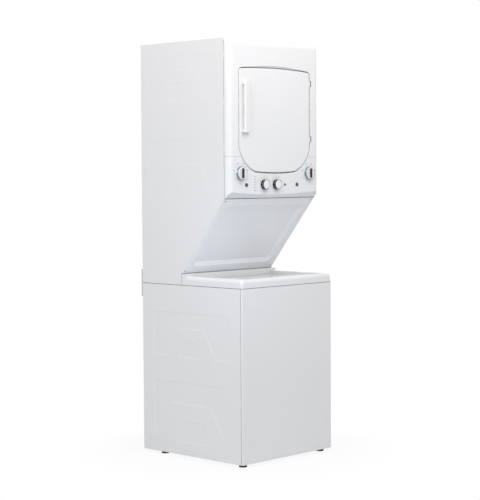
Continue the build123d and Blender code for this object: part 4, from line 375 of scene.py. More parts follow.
def makeGrit():
    # pitted grain of castings, rubber and moulded parts
    group, start, end = newGroup(
        "grit",
        [
            ("Light", "NodeSocketColor", (0.5, 0.5, 0.5, 1)),
            ("Dark", "NodeSocketColor", (0.3, 0.3, 0.3, 1)),
            ("Scale", "NodeSocketFloat", 300.0),
            ("Gloss", "NodeSocketFloat", 0.5),
        ],
        [("Colour", "NodeSocketColor"), ("Roughness", "NodeSocketFloat"), ("Height", "NodeSocketFloat")],
    )
    grain = objectNoise(group, (-300, 100), start.outputs["Scale"], detail=3.0)
    patch = objectNoise(group, (-300, -200), effect["gritPatch"], detail=4.0)
    blend = mathNode(group, "MULTIPLY", (0, 0), grain, patch)
    blend = mathNode(group, "MULTIPLY", (150, 0), blend, effect["gritMix"])
    colour = mixColour(group, (400, 200), blend, start.outputs["Light"], start.outputs["Dark"])
    group.links.new(colour, end.inputs["Colour"])
    rough = mathNode(group, "MULTIPLY", (300, -200), patch, effect["gritRough"])
    rough = mathNode(group, "ADD", (500, -200), rough, start.outputs["Gloss"])
    group.links.new(rough, end.inputs["Roughness"])
    group.links.new(grain, end.inputs["Height"])
    return group


sprayPeel = makeSprayPeel()
handling = makeHandling()
zincSpangle = makeZincSpangle()
drawnGrain = makeDrawnGrain()
grit = makeGrit()
print("shader effects ready")


def startFinish(name, **principled):
    material = bpy.data.materials.new(name)
    material.use_nodes = True
    tree = material.node_tree
    tree.nodes.clear()
    shader = addNode(tree, "ShaderNodeBsdfPrincipled", (500, 0))
    for label, value in principled.items():
        shader.inputs[label.replace("_", " ")].default_value = value
    out = addNode(tree, "ShaderNodeOutputMaterial", (800, 0))
    tree.links.new(shader.outputs[0], out.inputs[0])
    return material, tree, shader


def placeGroup(tree, group, at, values):
    node = addNode(tree, "ShaderNodeGroup", at)
    node.node_tree = group
    for label, value in values.items():
        node.inputs[label].default_value = value
    return node


def bumpFrom(tree, shader, height, strength, distance):
    bump = addNode(tree, "ShaderNodeBump", (250, -300), Strength=strength, Distance=distance)
    tree.links.new(height, bump.inputs["Height"])
    tree.links.new(bump.outputs[0], shader.inputs["Normal"])


def sprayedFinish(name, look, **principled):
    # sprayed enamel or gloss moulding: soil and gloss clouds over a rippled coat
    material, tree, shader = startFinish(name, **principled)
    worn = placeGroup(
        tree,
        handling,
        (0, 100),
        {
            "Colour": look["colour"],
            "Soil": look["soil"],
            "Amount": look["amount"],
            "Scale": look["cloud"],
            "Gloss": look["gloss"],
            "Spread": look["spread"],
        },
    )
    tree.links.new(worn.outputs["Colour"], shader.inputs["Base Color"])
    tree.links.new(worn.outputs["Roughness"], shader.inputs["Roughness"])
    peel = placeGroup(tree, sprayPeel, (0, -300), {"Scale": look["peel"], "Ripple": look["ripple"]})
    bumpFrom(tree, shader, peel.outputs["Height"], look["bump"], effect["coatHeight"])
    return material


def grainFinish(name, group, values, bump, **principled):
    material, tree, shader = startFinish(name, **principled)
    grain = placeGroup(tree, group, (0, 0), values)
    tree.links.new(grain.outputs["Colour"], shader.inputs["Base Color"])
    tree.links.new(grain.outputs["Roughness"], shader.inputs["Roughness"])
    bumpFrom(tree, shader, grain.outputs["Height"], bump, effect["grainHeight"])
    return material


# sprayed coats and gloss mouldings, each as a change from the cabinet's white
whiteEnamel = {
    "colour": (0.84, 0.84, 0.845, 1),
    "soil": (0.6, 0.6, 0.58, 1),
    "amount": 0.03,
    "cloud": 3.0,
    "gloss": 0.3,
    "spread": 0.06,
    "peel": 260.0,
    "ripple": 0.7,
    "bump": 0.05,
}
lidEnamel = dict(whiteEnamel, colour=(0.79, 0.787, 0.785, 1), gloss=0.12, spread=0.05, bump=0.04)
linerEnamel = dict(whiteEnamel, colour=(0.78, 0.78, 0.78, 1), gloss=0.4)
panelMoulding = dict(whiteEnamel, gloss=0.34, peel=700.0, ripple=0.2, bump=0.05)
handleMoulding = dict(whiteEnamel, colour=(0.86, 0.86, 0.86, 1), gloss=0.26, peel=500.0, ripple=0.2)
bulkheadEnamel = dict(whiteEnamel, colour=(0.62, 0.63, 0.65, 1), gloss=0.42, amount=0.12)
drumCoat = dict(whiteEnamel, colour=(0.64, 0.65, 0.67, 1), gloss=0.38, amount=0.15, cloud=9.0, bump=0.12)
basketEnamel = dict(
    whiteEnamel, colour=(0.58, 0.61, 0.66, 1), gloss=0.22, amount=0.1, cloud=40.0, bump=0.08
)
agitatorMoulding = dict(whiteEnamel, colour=(0.74, 0.75, 0.77, 1), gloss=0.3, peel=400.0)
knobMoulding = dict(whiteEnamel, gloss=0.24, peel=500.0, ripple=0.1)
buttonMoulding = dict(whiteEnamel, colour=(0.06, 0.065, 0.075, 1), soil=(0.2, 0.2, 0.2, 1), gloss=0.25)
lensMoulding = dict(whiteEnamel, colour=(0.12, 0.14, 0.15, 1), soil=(0.25, 0.26, 0.25, 1), gloss=0.12)
motorEnamel = dict(
    whiteEnamel, colour=(0.025, 0.027, 0.03, 1), soil=(0.14, 0.13, 0.12, 1), amount=0.25, gloss=0.35
)

# one finish for each of the part's material slots
finishes = {
    "cabinet_enamel": sprayedFinish("whiteEnamel", whiteEnamel, Coat_Weight=0.25, Coat_Roughness=0.12),
    "lid_enamel": sprayedFinish("lidEnamel", lidEnamel, Coat_Weight=0.4, Coat_Roughness=0.05),
    "door_enamel": sprayedFinish("doorEnamel", whiteEnamel, Coat_Weight=0.25, Coat_Roughness=0.12),
    "door_liner": sprayedFinish("linerEnamel", linerEnamel),
    "panel_plastic": sprayedFinish("panelMoulding", panelMoulding),
    "handle_plastic": sprayedFinish("handleMoulding", handleMoulding),
    "bulkhead_enamel": sprayedFinish("bulkheadEnamel", bulkheadEnamel),
    "drum_enamel": sprayedFinish("drumCoat", drumCoat),
    "basket_enamel": sprayedFinish("basketEnamel", basketEnamel),
    "agitator_plastic": sprayedFinish("agitatorMoulding", agitatorMoulding),
    "knob_plastic": sprayedFinish("knobMoulding", knobMoulding),
    "button_plastic": sprayedFinish("buttonMoulding", buttonMoulding),
    "lens_plastic": sprayedFinish("lensMoulding", lensMoulding, Coat_Weight=0.5),
    "motor_paint": sprayedFinish("motorEnamel", motorEnamel),
    "galvanised": grainFinish("zincSheet", zincSpangle, {"Scale": 130.0}, 0.03, Metallic=0.85),
    "screw_zinc": grainFinish(
        "zincScrew",
        drawnGrain,
        {"Light": (0.62, 0.63, 0.64, 1), "Dark": (0.4, 0.41, 0.42, 1), "Gloss": 0.25},
        0.05,
        Metallic=0.9,
    ),
    "drive_steel": grainFinish("drawnSteel", drawnGrain, {"Gloss": 0.28}, 0.06, Metallic=0.95),
    "gear_alloy": grainFinish(
        "castAlloy",
        grit,
        {"Light": (0.55, 0.56, 0.57, 1), "Dark": (0.32, 0.33, 0.34, 1), "Scale": 220.0, "Gloss": 0.4},
        0.3,
        Metallic=0.9,
    ),
    "bearing_alloy": grainFinish(
        "sinteredAlloy",
        grit,
        {"Light": (0.3, 0.29, 0.28, 1), "Dark": (0.16, 0.15, 0.15, 1), "Scale": 500.0, "Gloss": 0.45},
        0.2,
        Metallic=0.8,
    ),
    "black_rubber": grainFinish(
        "blackRubber",
        grit,
        {
            "Light": (0.022, 0.022, 0.023, 1),
            "Dark": (0.045, 0.045, 0.044, 1),
            "Scale": 420.0,
            "Gloss": 0.55,
        },
        0.25,
    ),
    "gasket_felt": grainFinish(
        "gasketFelt",
        grit,
        {"Light": (0.6, 0.6, 0.57, 1), "Dark": (0.4, 0.4, 0.38, 1), "Scale": 900.0, "Gloss": 0.8},
        0.6,
        Sheen_Weight=0.4,
    ),
    "tub_plastic": grainFinish(
        "filledPlastic",
        grit,
        {"Light": (0.62, 0.62, 0.6, 1), "Dark": (0.5, 0.5, 0.47, 1), "Scale": 160.0, "Gloss": 0.45},
        0.15,
    ),
    "grey_plastic": grainFinish(
        "greyPlastic",
        grit,
        {"Light": (0.2, 0.21, 0.225, 1), "Dark": (0.13, 0.135, 0.145, 1), "Scale": 380.0, "Gloss": 0.42},
        0.2,
    ),
}

for name, node in nodes.items():
    for place in node.material_slots:
        place.material = finishes[slotOf[name]]
print("finishes on CAD nodes:", len(finishes))

# bright trim with painted reflection and highlight bands, ink and hose washers: finishes of the pieces that
# are made here
trimLook = {
    "back": -0.2700,  # the bands run in depth from here to the front
    "front": -0.2890,
    "turnLines": 900.0,
    "turnStretch": (0.05, 1.0, 0.05),
    "turnRough": 0.12,
    "turnBump": 0.08,
    "turnHeight": 0.0002,
    "chromeRough": 0.14,
    "smokeRough": 0.18,
}
# painted reflections: the chrome bands are the sky, floor and room mirrored in the plated skirts, and the
# smoked set is dark plating with one painted highlight band
chromeReflectionBands = (
    (0.0, (0.34, 0.40, 0.46, 1)),
    (0.16, (0.62, 0.70, 0.78, 1)),
    (0.34, (0.10, 0.12, 0.15, 1)),
    (0.62, (0.42, 0.50, 0.58, 1)),
    (0.85, (0.16, 0.19, 0.23, 1)),
    (1.0, (0.70, 0.75, 0.80, 1)),
)
smokeReflectionBands = (
    (0.0, (0.30, 0.32, 0.35, 1)),
    (0.14, (0.015, 0.016, 0.018, 1)),
    (0.52, (0.02, 0.022, 0.025, 1)),
    (0.62, (0.50, 0.54, 0.58, 1)),
    (0.72, (0.02, 0.022, 0.025, 1)),
    (1.0, (0.05, 0.055, 0.06, 1)),
)


def platedReflectionFinish(name, look, bands, roughness):
    # plated skirt: painted reflections as bands of dark and light along its depth, over fine turning lines
    material, tree, shader = startFinish(name, Metallic=1.0)
    coords = addNode(tree, "ShaderNodeTexCoord", (-900, 0))
    split = addNode(tree, "ShaderNodeSeparateXYZ", (-700, 0))
    tree.links.new(coords.outputs["Object"], split.inputs[0])
    depth = addNode(tree, "ShaderNodeMapRange", (-500, 0))
    depth.inputs["From Min"].default_value = look["back"]
    depth.inputs["From Max"].default_value = look["front"]
    tree.links.new(split.outputs["Y"], depth.inputs["Value"])
    ramp = addNode(tree, "ShaderNodeValToRGB", (-200, 100))
    stops = ramp.color_ramp.elements
    for index, (place, colour) in enumerate(bands):
        stop = stops[index] if index < 2 else stops.new(place)  # a new ramp has two stops
        stop.position = place
        stop.color = colour
    tree.links.new(depth.outputs["Result"], ramp.inputs["Fac"])
    tree.links.new(ramp.outputs["Color"], shader.inputs["Base Color"])
    lines = objectNoise(tree, (-200, -300), look["turnLines"], stretch=look["turnStretch"])
    rough = mathNode(tree, "MULTIPLY", (50, -200), lines, look["turnRough"])
    rough = mathNode(tree, "ADD", (250, -200), rough, roughness)
    tree.links.new(rough, shader.inputs["Roughness"])
    bumpFrom(tree, shader, lines, look["turnBump"], look["turnHeight"])
    return material


inkMark = dict(
    whiteEnamel, colour=(0.09, 0.095, 0.105, 1), soil=(0.3, 0.3, 0.3, 1), amount=0.3, cloud=200.0, gloss=0.5
)
# painted shade: near-black for the shaded left side of the big knobs' grips
paintedGripShade = dict(
    whiteEnamel, colour=(0.012, 0.012, 0.014, 1), soil=(0.06, 0.06, 0.06, 1), gloss=0.3, peel=700.0
)
hotWasher = dict(
    whiteEnamel, colour=(0.55, 0.035, 0.03, 1), soil=(0.3, 0.06, 0.05, 1), gloss=0.4, cloud=60.0, amount=0.2
)
coldWasher = dict(
    whiteEnamel, colour=(0.03, 0.09, 0.42, 1), soil=(0.05, 0.08, 0.25, 1), gloss=0.4, cloud=60.0, amount=0.2
)
chromeTrim = platedReflectionFinish("chromeTrim", trimLook, chromeReflectionBands, trimLook["chromeRough"])
smokeTrim = platedReflectionFinish("smokeTrim", trimLook, smokeReflectionBands, trimLook["smokeRough"])
inkFinish = sprayedFinish("printedInk", inkMark)
gripShadeFinish = sprayedFinish("paintedGripShade", paintedGripShade)
hotFinish = sprayedFinish("hotWasher", hotWasher)
coldFinish = sprayedFinish("coldWasher", coldWasher)
print("trim finishes ready")

frontward = (0, -1, 0)
backward = (0, 1, 0)
weld = 1e-6  # points nearer than this are one


# shapes: each tool returns a bmesh in its own axes, and gather puts shapes in their places
def turned(profile, steps):
    # a profile of radius and height, spun round Z
    bm = bmesh.new()
    verts = [bm.verts.new((radius, 0, height)) for radius, height in profile]
    edges = [bm.edges.new(pair) for pair in zip(verts, verts[1:])]
    bmesh.ops.spin(
        bm,
        geom=verts + edges,
        cent=(0, 0, 0),
        axis=(0, 0, 1),
        angle=math.tau,
        steps=steps,
        use_merge=True,
    )
    bmesh.ops.remove_doubles(bm, verts=bm.verts, dist=weld)
    bmesh.ops.recalc_face_normals(bm, faces=bm.faces)
    return bm


def collar(radius, section, steps):
    # a ring round a stub: each point of its section is out from the stub and along it
    return turned([(radius + out, along) for out, along in section], steps)


def roundedBlock(size, edge, segments=2):
    bm = bmesh.new()
    bmesh.ops.create_cube(bm, size=1.0)
    bmesh.ops.scale(bm, vec=size, verts=bm.verts)
    bmesh.ops.bevel(
        bm,
        geom=bm.edges[:],
        offset=edge,
        offset_type="OFFSET",
        segments=segments,
        profile=0.5,
        affect="EDGES",
        material=-1,
    )
    return bm


def facing(place, direction):
    # local Z looks along direction from place
    turn = Vector(direction).to_track_quat("Z", "Y").to_matrix().to_4x4()
    return Matrix.Translation(place) @ turn


def gather(shapes):
    whole = bmesh.new()
    for shape, place in shapes:
        bmesh.ops.transform(shape, matrix=place, verts=shape.verts)
        step = bpy.data.meshes.new("step")
        shape.to_mesh(step)
        shape.free()
        whole.from_mesh(step)
        bpy.data.meshes.remove(step)
    return whole


def makePiece(name, bm, finish, body, crease=40):
    # edges sharper than crease, in degrees, stay sharp; a piece with no body is not attached to any body
    mesh = bpy.data.meshes.new(name)
    bm.to_mesh(mesh)
    bm.free()
    for face in mesh.polygons:
        face.use_smooth = True
    mesh.set_sharp_from_angle(angle=math.radians(crease))
    mesh.materials.append(finish)
    piece = bpy.data.objects.new(name, mesh)
    scene.collection.objects.link(piece)
    if body:
        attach(piece, body)
    return piece


def islands(node):
    # the points of each solid of a CAD node
    bm = bmesh.new()
    bm.from_mesh(nodes[node].data)
    bmesh.ops.remove_doubles(bm, verts=bm.verts, dist=weld)
    found = []
    left = set(bm.verts)
    while left:
        group = [left.pop()]
        for vert in group:
            for edge in vert.link_edges:
                other = edge.other_vert(vert)
                if other in left:
                    left.remove(other)
                    group.append(other)
        found.append([vert.co.copy() for vert in group])
    bm.free()
    return found


def boxOf(points):
    low = Vector([min(p[axis] for p in points) for axis in range(3)])
    high = Vector([max(p[axis] for p in points) for axis in range(3)])
    return low, high


def middleAndRadius(box):
    # of a round piece that faces front or up
    low, high = box
    return (low + high) / 2, (high.x - low.x) / 2


# knobs: a plated skirt with painted reflection bands round each knob, and on the big ones a near-black
# sheet of painted shade on the grip's left cheek
bigKnob = {"wall": 0.0010, "foot": 0.0007, "lip": 0.0009, "disc": 0.0140}
smallKnob = {"wall": 0.0009, "foot": 0.0007, "lip": 0.0007, "disc": 0.0180}
skirt = {
    "panelGap": 0.0003,  # the knobs stand just clear of the panel
    "room": 0.00012,
    "lipTall": 0.0016,
    "lipRun": 0.0028,
    "shoulder": 0.0012,
    "crown": 0.0004,
    "ease": 0.0003,
    "inset": 0.0002,
    "steps": 64,
}
gripShade = {
    "gripHalf": 0.0065,
    "tall": 0.0440,
    "thick": 0.0006,
    "round": 0.4,  # share of its thickness
    "rise": 0.0010,
    "brow": 0.0045,
}
bigKnobs = ("washer_cycle_knob", "dryer_cycle_knob")
smallKnobs = ("load_size_knob", "temperature_knob")
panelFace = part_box("control_panel")[0].y
knobBack = panelFace - skirt["panelGap"]


def knobSkirt(name, size, finish):
    middle, radius = middleAndRadius(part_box(name))
    inner = radius + skirt["room"]
    outer = inner + size["wall"]
    foot, top = size["foot"], size["disc"] - skirt["crown"]
    profile = [
        (inner, foot),
        (outer + size["lip"], foot),
        (outer + size["lip"], foot + skirt["lipTall"]),
        (outer, foot + skirt["lipRun"]),
        (outer, top - skirt["shoulder"]),
        (outer - skirt["ease"], top - skirt["crown"]),
        (inner + skirt["inset"], top),
        (inner, top - skirt["crown"]),
        (inner, foot),
    ]
    place = facing((middle.x, knobBack, middle.z), frontward)
    shape = turned(profile, skirt["steps"])
    makePiece(name + "Skirt", gather([(shape, place)]), finish, name)


def knobGripShade(name, disc):
    # the left cheek of the grip and the strip of its face beside it, in near-black as painted shade of the
    # grip's left side
    low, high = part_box(name)
    middle = (low + high) / 2
    thick, edge = gripShade["thick"], gripShade["thick"] * gripShade["round"]
    left = middle.x - gripShade["gripHalf"]
    cheekBack = knobBack - disc - gripShade["rise"]
    cheek = roundedBlock((thick, cheekBack - low.y, gripShade["tall"]), edge)
    brow = roundedBlock((gripShade["brow"], thick, gripShade["tall"]), edge)
    shapes = [
        (cheek, Matrix.Translation((left, (cheekBack + low.y) / 2, middle.z))),
        (brow, Matrix.Translation((left + gripShade["brow"] / 2, low.y, middle.z))),
    ]
    makePiece(name + "GripShade", gather(shapes), gripShadeFinish, name)


for knob in bigKnobs:
    knobSkirt(knob, bigKnob, chromeTrim)
    knobGripShade(knob, bigKnob["disc"])
for knob in smallKnobs:
    knobSkirt(knob, smallKnob, smokeTrim)
print("knobs dressed")

# printed dial: ticks round the knobs, plain numbers, a column of dashes beside the lights
dial = {
    "proud": 0.00012,
    "round": 0.3,  # share of what stands proud
    "tick": 0.0010,
    "short": 0.0035,
    "long": 0.0055,
    "digits": 0.0072,
    "numberOut": 0.0085,
    "bigRing": 0.0378,
    "bigTurn": range(-150, 151, 25),
    "bigNumbers": ("", "5", "", "10", "", "20", "", "30", "", "40", "", "60", ""),
    "smallRing": 0.0272,
    "smallTurn": range(-60, 61, 30),
    "smallNumbers": ("1", "2", "3", "4", "5"),
    "dash": 0.0075,
    "dashOut": 0.0085,
    "lampWide": 0.0080,  # the lens that is wider than this is the lamp
}
inkDepth = panelFace - dial["proud"] / 2


def printedNumber(text):
    curve = bpy.data.curves.new("number", "FONT")
    curve.body = text
    curve.size = dial["digits"]
    curve.extrude = dial["proud"] / 2
    curve.align_x = "CENTER"
    curve.align_y = "CENTER"
    holder = bpy.data.objects.new("number", curve)
    bm = bmesh.new()
    step = bpy.data.meshes.new_from_object(holder)
    bm.from_mesh(step)
    bpy.data.meshes.remove(step)
    bpy.data.objects.remove(holder)
    bpy.data.curves.remove(curve)
    return bm


def printedBar(wide, tall):
    return roundedBlock((wide, dial["proud"], tall), dial["proud"] * dial["round"], 1)


def ringMarks(node, ring, turns, numbers):
    middle = middleAndRadius(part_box(node))[0]
    upright = Matrix.Rotation(math.pi / 2, 4, "X")
    shapes = []
    for degree, text in zip(turns, numbers):
        angle = math.radians(degree)
        out = Vector((math.sin(angle), 0, math.cos(angle)))
        length = dial["long"] if text else dial["short"]
        spot = middle + out * (ring + length / 2)
        place = Matrix.Translation((spot.x, inkDepth, spot.z)) @ Matrix.Rotation(angle, 4, "Y")
        shapes.append((printedBar(dial["tick"], length), place))
        if text:
            spot = middle + out * (ring + dial["long"] + dial["numberOut"] / 2)
            place = Matrix.Translation((spot.x, inkDepth, spot.z)) @ upright
            shapes.append((printedNumber(text), place))
    return shapes


marks = []
for knob in bigKnobs:
    marks += ringMarks(knob, dial["bigRing"], dial["bigTurn"], dial["bigNumbers"])
for knob in smallKnobs:
    marks += ringMarks(knob, dial["smallRing"], dial["smallTurn"], dial["smallNumbers"])
lenses = [middleAndRadius(boxOf(points)) for points in islands("indicator_lenses")]
for middle, radius in lenses:
    if 2 * radius < dial["lampWide"]:
        place = Matrix.Translation((middle.x + dial["dashOut"], inkDepth, middle.z))
        marks.append((printedBar(dial["dash"], dial["tick"]), place))
makePiece("dialMarks", gather(marks), inkFinish, "cabinet")
print("dial printed:", len(marks), "marks")

# bezels round the start buttons and the lamp
bezel = {
    "gap": 0.0006,
    "wall": 0.0009,
    "rise": 0.0009,
    "foot": 0.00005,
    "crown": 0.0003,
    "outerEase": 0.4,  # shares of the rise
    "innerEase": 0.6,
    "steps": 40,
}


def bezelRing(radius):
    inner = radius + bezel["gap"]
    outer = inner + bezel["wall"]
    crown = (inner + outer) / 2
    profile = [
        (inner, bezel["foot"]),
        (outer, bezel["foot"]),
        (outer, bezel["rise"] * bezel["outerEase"]),
        (crown + bezel["crown"], bezel["rise"]),
        (crown - bezel["crown"], bezel["rise"]),
        (inner, bezel["rise"] * bezel["innerEase"]),
        (inner, bezel["foot"]),
    ]
    return turned(profile, bezel["steps"])


buttons = [middleAndRadius(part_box(button)) for button in ("washer_start_button", "dryer_start_button")]
rings = []
for middle, radius in buttons + [lens for lens in lenses if 2 * lens[1] >= dial["lampWide"]]:
    rings.append((bezelRing(radius), facing((middle.x, panelFace, middle.z), frontward)))
makePiece("buttonBezels", gather(rings), smokeTrim, "cabinet")
print("bezels:", len(rings))

# screws with flanged hex heads in the place of the CAD's plain ones
screw = {
    "flange": 0.0044,
    "flangeThick": 0.0007,
    "flangeFoot": 0.00002,
    "flangeEase": 0.0005,
    "flangeCrown": 0.0001,
    "flangeSteps": 28,
    "hex": 0.0033,
    "hexTaper": 0.97,
    "head": 0.0023,
    "rim": 0.0008,
    "dish": 0.0004,
    "root": 0.0014,
    "crest": 0.0019,
    "pitch": 0.0012,
    "threadSteps": 16,
    "cadHead": 0.0024,
    "edgeBand": 0.02,  # a screw this near the top or the back is in it
    "slopeLean": 0.3,
}


def hexScrew(shank):
    thread = [(0.0, 0.0), (screw["root"], 0.0)]
    turns = int(shank / screw["pitch"]) - 1
    for step in range(turns):
        z = -screw["pitch"] * step
        thread += [(screw["crest"], z - screw["pitch"] / 2), (screw["root"], z - screw["pitch"])]
    thread.append((0.0, -shank))
    flange = [
        (0.0, screw["flangeFoot"]),
        (screw["flange"], screw["flangeFoot"]),
        (screw["flange"], screw["flangeThick"] / 2),
        (screw["flange"] - screw["flangeEase"], screw["flangeThick"]),
        (0.0, screw["flangeThick"] + screw["flangeCrown"]),
    ]
    head = bmesh.new()
    bmesh.ops.create_cone(
        head,
        cap_ends=True,
        segments=6,
        radius1=screw["hex"],
        radius2=screw["hex"] * screw["hexTaper"],
        depth=screw["head"] - screw["flangeThick"],
    )
    top = max(head.faces, key=lambda face: face.calc_center_median().z)
    bmesh.ops.inset_individual(head, faces=[top], thickness=screw["rim"], depth=-screw["dish"])
    lift = Matrix.Translation((0, 0, (screw["head"] + screw["flangeThick"]) / 2))
    return gather(
        [
            (turned(thread, screw["threadSteps"]), Matrix()),
            (turned(flange, screw["flangeSteps"]), Matrix()),
            (head, lift),
        ]
    )


def leansDown(face):
    return face.normal.y < -screw["slopeLean"] and face.normal.z < -screw["slopeLean"]


slopeFaces = [face for face in nodes["sloped_panel"].data.polygons if leansDown(face)]
slopeOut = max(slopeFaces, key=lambda face: face.area).normal.copy()
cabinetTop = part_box("dryer_top_panel")[1].z
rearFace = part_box("washer_side_left")[1].y
screws = []
for points in islands("cabinet_screws"):
    middle = sum(points, Vector()) / len(points)
    if middle.z > cabinetTop - screw["edgeBand"]:
        out = Vector((0, 0, 1))
    elif middle.y > rearFace - screw["edgeBand"]:
        out = Vector(backward)
    else:
        out = slopeOut
    reach = [p.dot(out) for p in points]
    seatAt = max(reach) - screw["cadHead"]
    seat = middle + out * (seatAt - middle.dot(out))
    screws.append((hexScrew(seatAt - min(reach)), facing(seat, out)))
cabinetScrews = makePiece("cabinetScrews", gather(screws), finishes["screw_zinc"], "cabinet")
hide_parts("cabinet_screws")
print("screws:", len(screws))

# suspension springs as coiled wire with closed ends
spring = {"wire": 0.0023, "turns": 11, "around": 28, "sides": 10, "room": 0.0004}


def coil(low, high, radius):
    # the wire's section is swept round: a closed turn, the open turns, a closed turn
    wire, turns, around = spring["wire"], spring["turns"], spring["around"]
    closed = 2 * wire
    pitch = (high - low - 2 * wire - 2 * closed) / (turns - 2)
    bm = bmesh.new()
    bmesh.ops.create_circle(bm, cap_ends=True, radius=wire, segments=spring["sides"])
    place = Matrix.Translation((radius, 0, low + wire)) @ Matrix.Rotation(math.pi / 2, 4, "X")
    bmesh.ops.transform(bm, matrix=place, verts=bm.verts)
    tip = bm.verts[:] + bm.edges[:] + bm.faces[:]
    for count, rise in ((1, closed), (turns - 2, pitch), (1, closed)):
        swept = bmesh.ops.spin(
            bm,
            geom=tip,
            cent=(0, 0, 0),
            axis=(0, 0, 1),
            dvec=(0, 0, rise / around),
            angle=math.tau * count,
            steps=around * count,
        )
        tip = swept["geom_last"]
    bmesh.ops.recalc_face_normals(bm, faces=bm.faces)
    return bm


springs = []
for points in islands("suspension_springs"):
    low, high = boxOf(points)
    middle, radius = middleAndRadius((low, high))
    shape = coil(low.z, high.z, radius - spring["wire"] - spring["room"])
    springs.append((shape, Matrix.Translation((middle.x, middle.y, 0))))
coils = makePiece("suspensionCoils", gather(springs), finishes["drive_steel"], None)
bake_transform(coils)
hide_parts("suspension_springs")
print("springs:", len(springs))

# louvre hoods on the back
louvre = {
    "count": 9,
    "top": 1.800,
    "pitch": 0.016,
    "half": 0.0765,
    "tall": 0.0072,
    "deep": 0.0048,
    "least": 0.0002,
    "square": 8,  # how squarely the ends close
    "clear": 0.00002,
    "thick": 0.0007,
    "along": 30,
    "bend": 7,
}


def louvreHood():
    # a pressed scoop that is open below, thin, and closed towards both ends
    bm = bmesh.new()
    sections = []
    for step in range(louvre["along"] + 1):
        share = 2 * step / louvre["along"] - 1
        deep = louvre["deep"] * (1 - abs(share) ** louvre["square"]) + louvre["least"]
        verts = []
        for skin in (0.0, louvre["thick"]):
            arc = []
            for part in range(louvre["bend"] + 1):
                bend = math.pi / 2 * part / louvre["bend"]
                y = max(deep * math.sin(bend) - skin, louvre["clear"])
                z = louvre["tall"] * (math.cos(bend) - 0.5) - skin * math.cos(bend)
                arc.append(bm.verts.new((share * louvre["half"], y, z)))
            verts += arc if skin == 0.0 else arc[::-1]
        sections.append([bm.edges.new(pair) for pair in zip(verts, verts[1:] + verts[:1])])
    for first, second in zip(sections, sections[1:]):
        bmesh.ops.bridge_loops(bm, edges=first + second)
    bmesh.ops.holes_fill(bm, edges=sections[0] + sections[-1], sides=0)
    bmesh.ops.recalc_face_normals(bm, faces=bm.faces)
    return bm


hoods = []
for row in range(louvre["count"]):
    place = Matrix.Translation((0, rearFace, louvre["top"] - louvre["pitch"] * row))
    hoods.append((louvreHood(), place))
makePiece("louvreHoods", gather(hoods), finishes["galvanised"], "cabinet")
print("louvres:", len(hoods))

# water inlets: thread ridges, and a coloured washer at the foot of each
hoses = {
    "hot": -0.150,
    "cold": -0.090,
    "level": 0.772,
    "radius": 0.0132,
    "sink": 0.0004,
    "start": 0.0030,
    "end": 0.0215,
    "pitch": 0.0024,
    "ridge": 0.0008,
    "crest": (0.4, 0.6),  # shares of the pitch
    "steps": 40,
    "washer": (
        (0.0004, 0.0001),
        (0.0062, 0.0001),
        (0.0066, 0.0007),
        (0.0058, 0.0015),
        (0.0008, 0.0017),
        (0.0004, 0.0012),
        (0.0004, 0.0001),
    ),
    "washerSteps": 44,
}


def ridgedSleeve(size, ridge, count):
    # ridge holds the points of one ridge, out from the stub and along it
    inner, start, pitch = -size["sink"], size["start"], size["pitch"]
    section = [(inner, start), (0.0, start)]
    for step in range(count):
        foot = start + pitch * step
        section += [(out, foot + along) for out, along in ridge]
        section.append((0.0, foot + pitch))
    section += [(inner, start + pitch * count), (inner, start)]
    return collar(size["radius"], section, size["steps"])


def onBack(x, z):
    return facing((x, rearFace, z), backward)


threadRidge = [(hoses["ridge"], hoses["pitch"] * share) for share in hoses["crest"]]
threadCount = int((hoses["end"] - hoses["start"]) / hoses["pitch"])
threads = []
for x in (hoses["hot"], hoses["cold"]):
    threads.append((ridgedSleeve(hoses, threadRidge, threadCount), onBack(x, hoses["level"])))
makePiece("inletThreads", gather(threads), finishes["grey_plastic"], "cabinet")
for name, finish in (("hot", hotFinish), ("cold", coldFinish)):
    washer = collar(hoses["radius"], hoses["washer"], hoses["washerSteps"])
    shapes = [(washer, onBack(hoses[name], hoses["level"]))]
    makePiece(name + "Washer", gather(shapes), finish, "cabinet")
print("inlets fitted")

# barbs on the drain outlet
drain = {
    "place": (0.262, 0.640),
    "radius": 0.0145,
    "sink": 0.0004,
    "start": 0.0060,
    "pitch": 0.0055,
    "barb": 0.0011,
    "crest": (0.0004, 0.0010),
    "barbs": 3,
    "steps": 40,
}
barbRidge = [(drain["barb"], along) for along in drain["crest"]]
shapes = [(ridgedSleeve(drain, barbRidge, drain["barbs"]), onBack(*drain["place"]))]
makePiece("drainBarbs", gather(shapes), finishes["black_rubber"], "cabinet")

# a rolled bead on the exhaust collar
exhaust = {
    "place": (-0.062, 1.006),
    "radius": 0.0505,
    "bead": (
        (-0.0003, 0.0322),
        (0.00044, 0.0332),
        (0.0011, 0.0350),
        (0.00044, 0.0368),
        (-0.0003, 0.0378),
        (-0.0003, 0.0322),
    ),
    "steps": 72,
}
shapes = [(collar(exhaust["radius"], exhaust["bead"], exhaust["steps"]), onBack(*exhaust["place"]))]
makePiece("exhaustBead", gather(shapes), finishes["galvanised"], "cabinet")
print("drain and exhaust fitted")

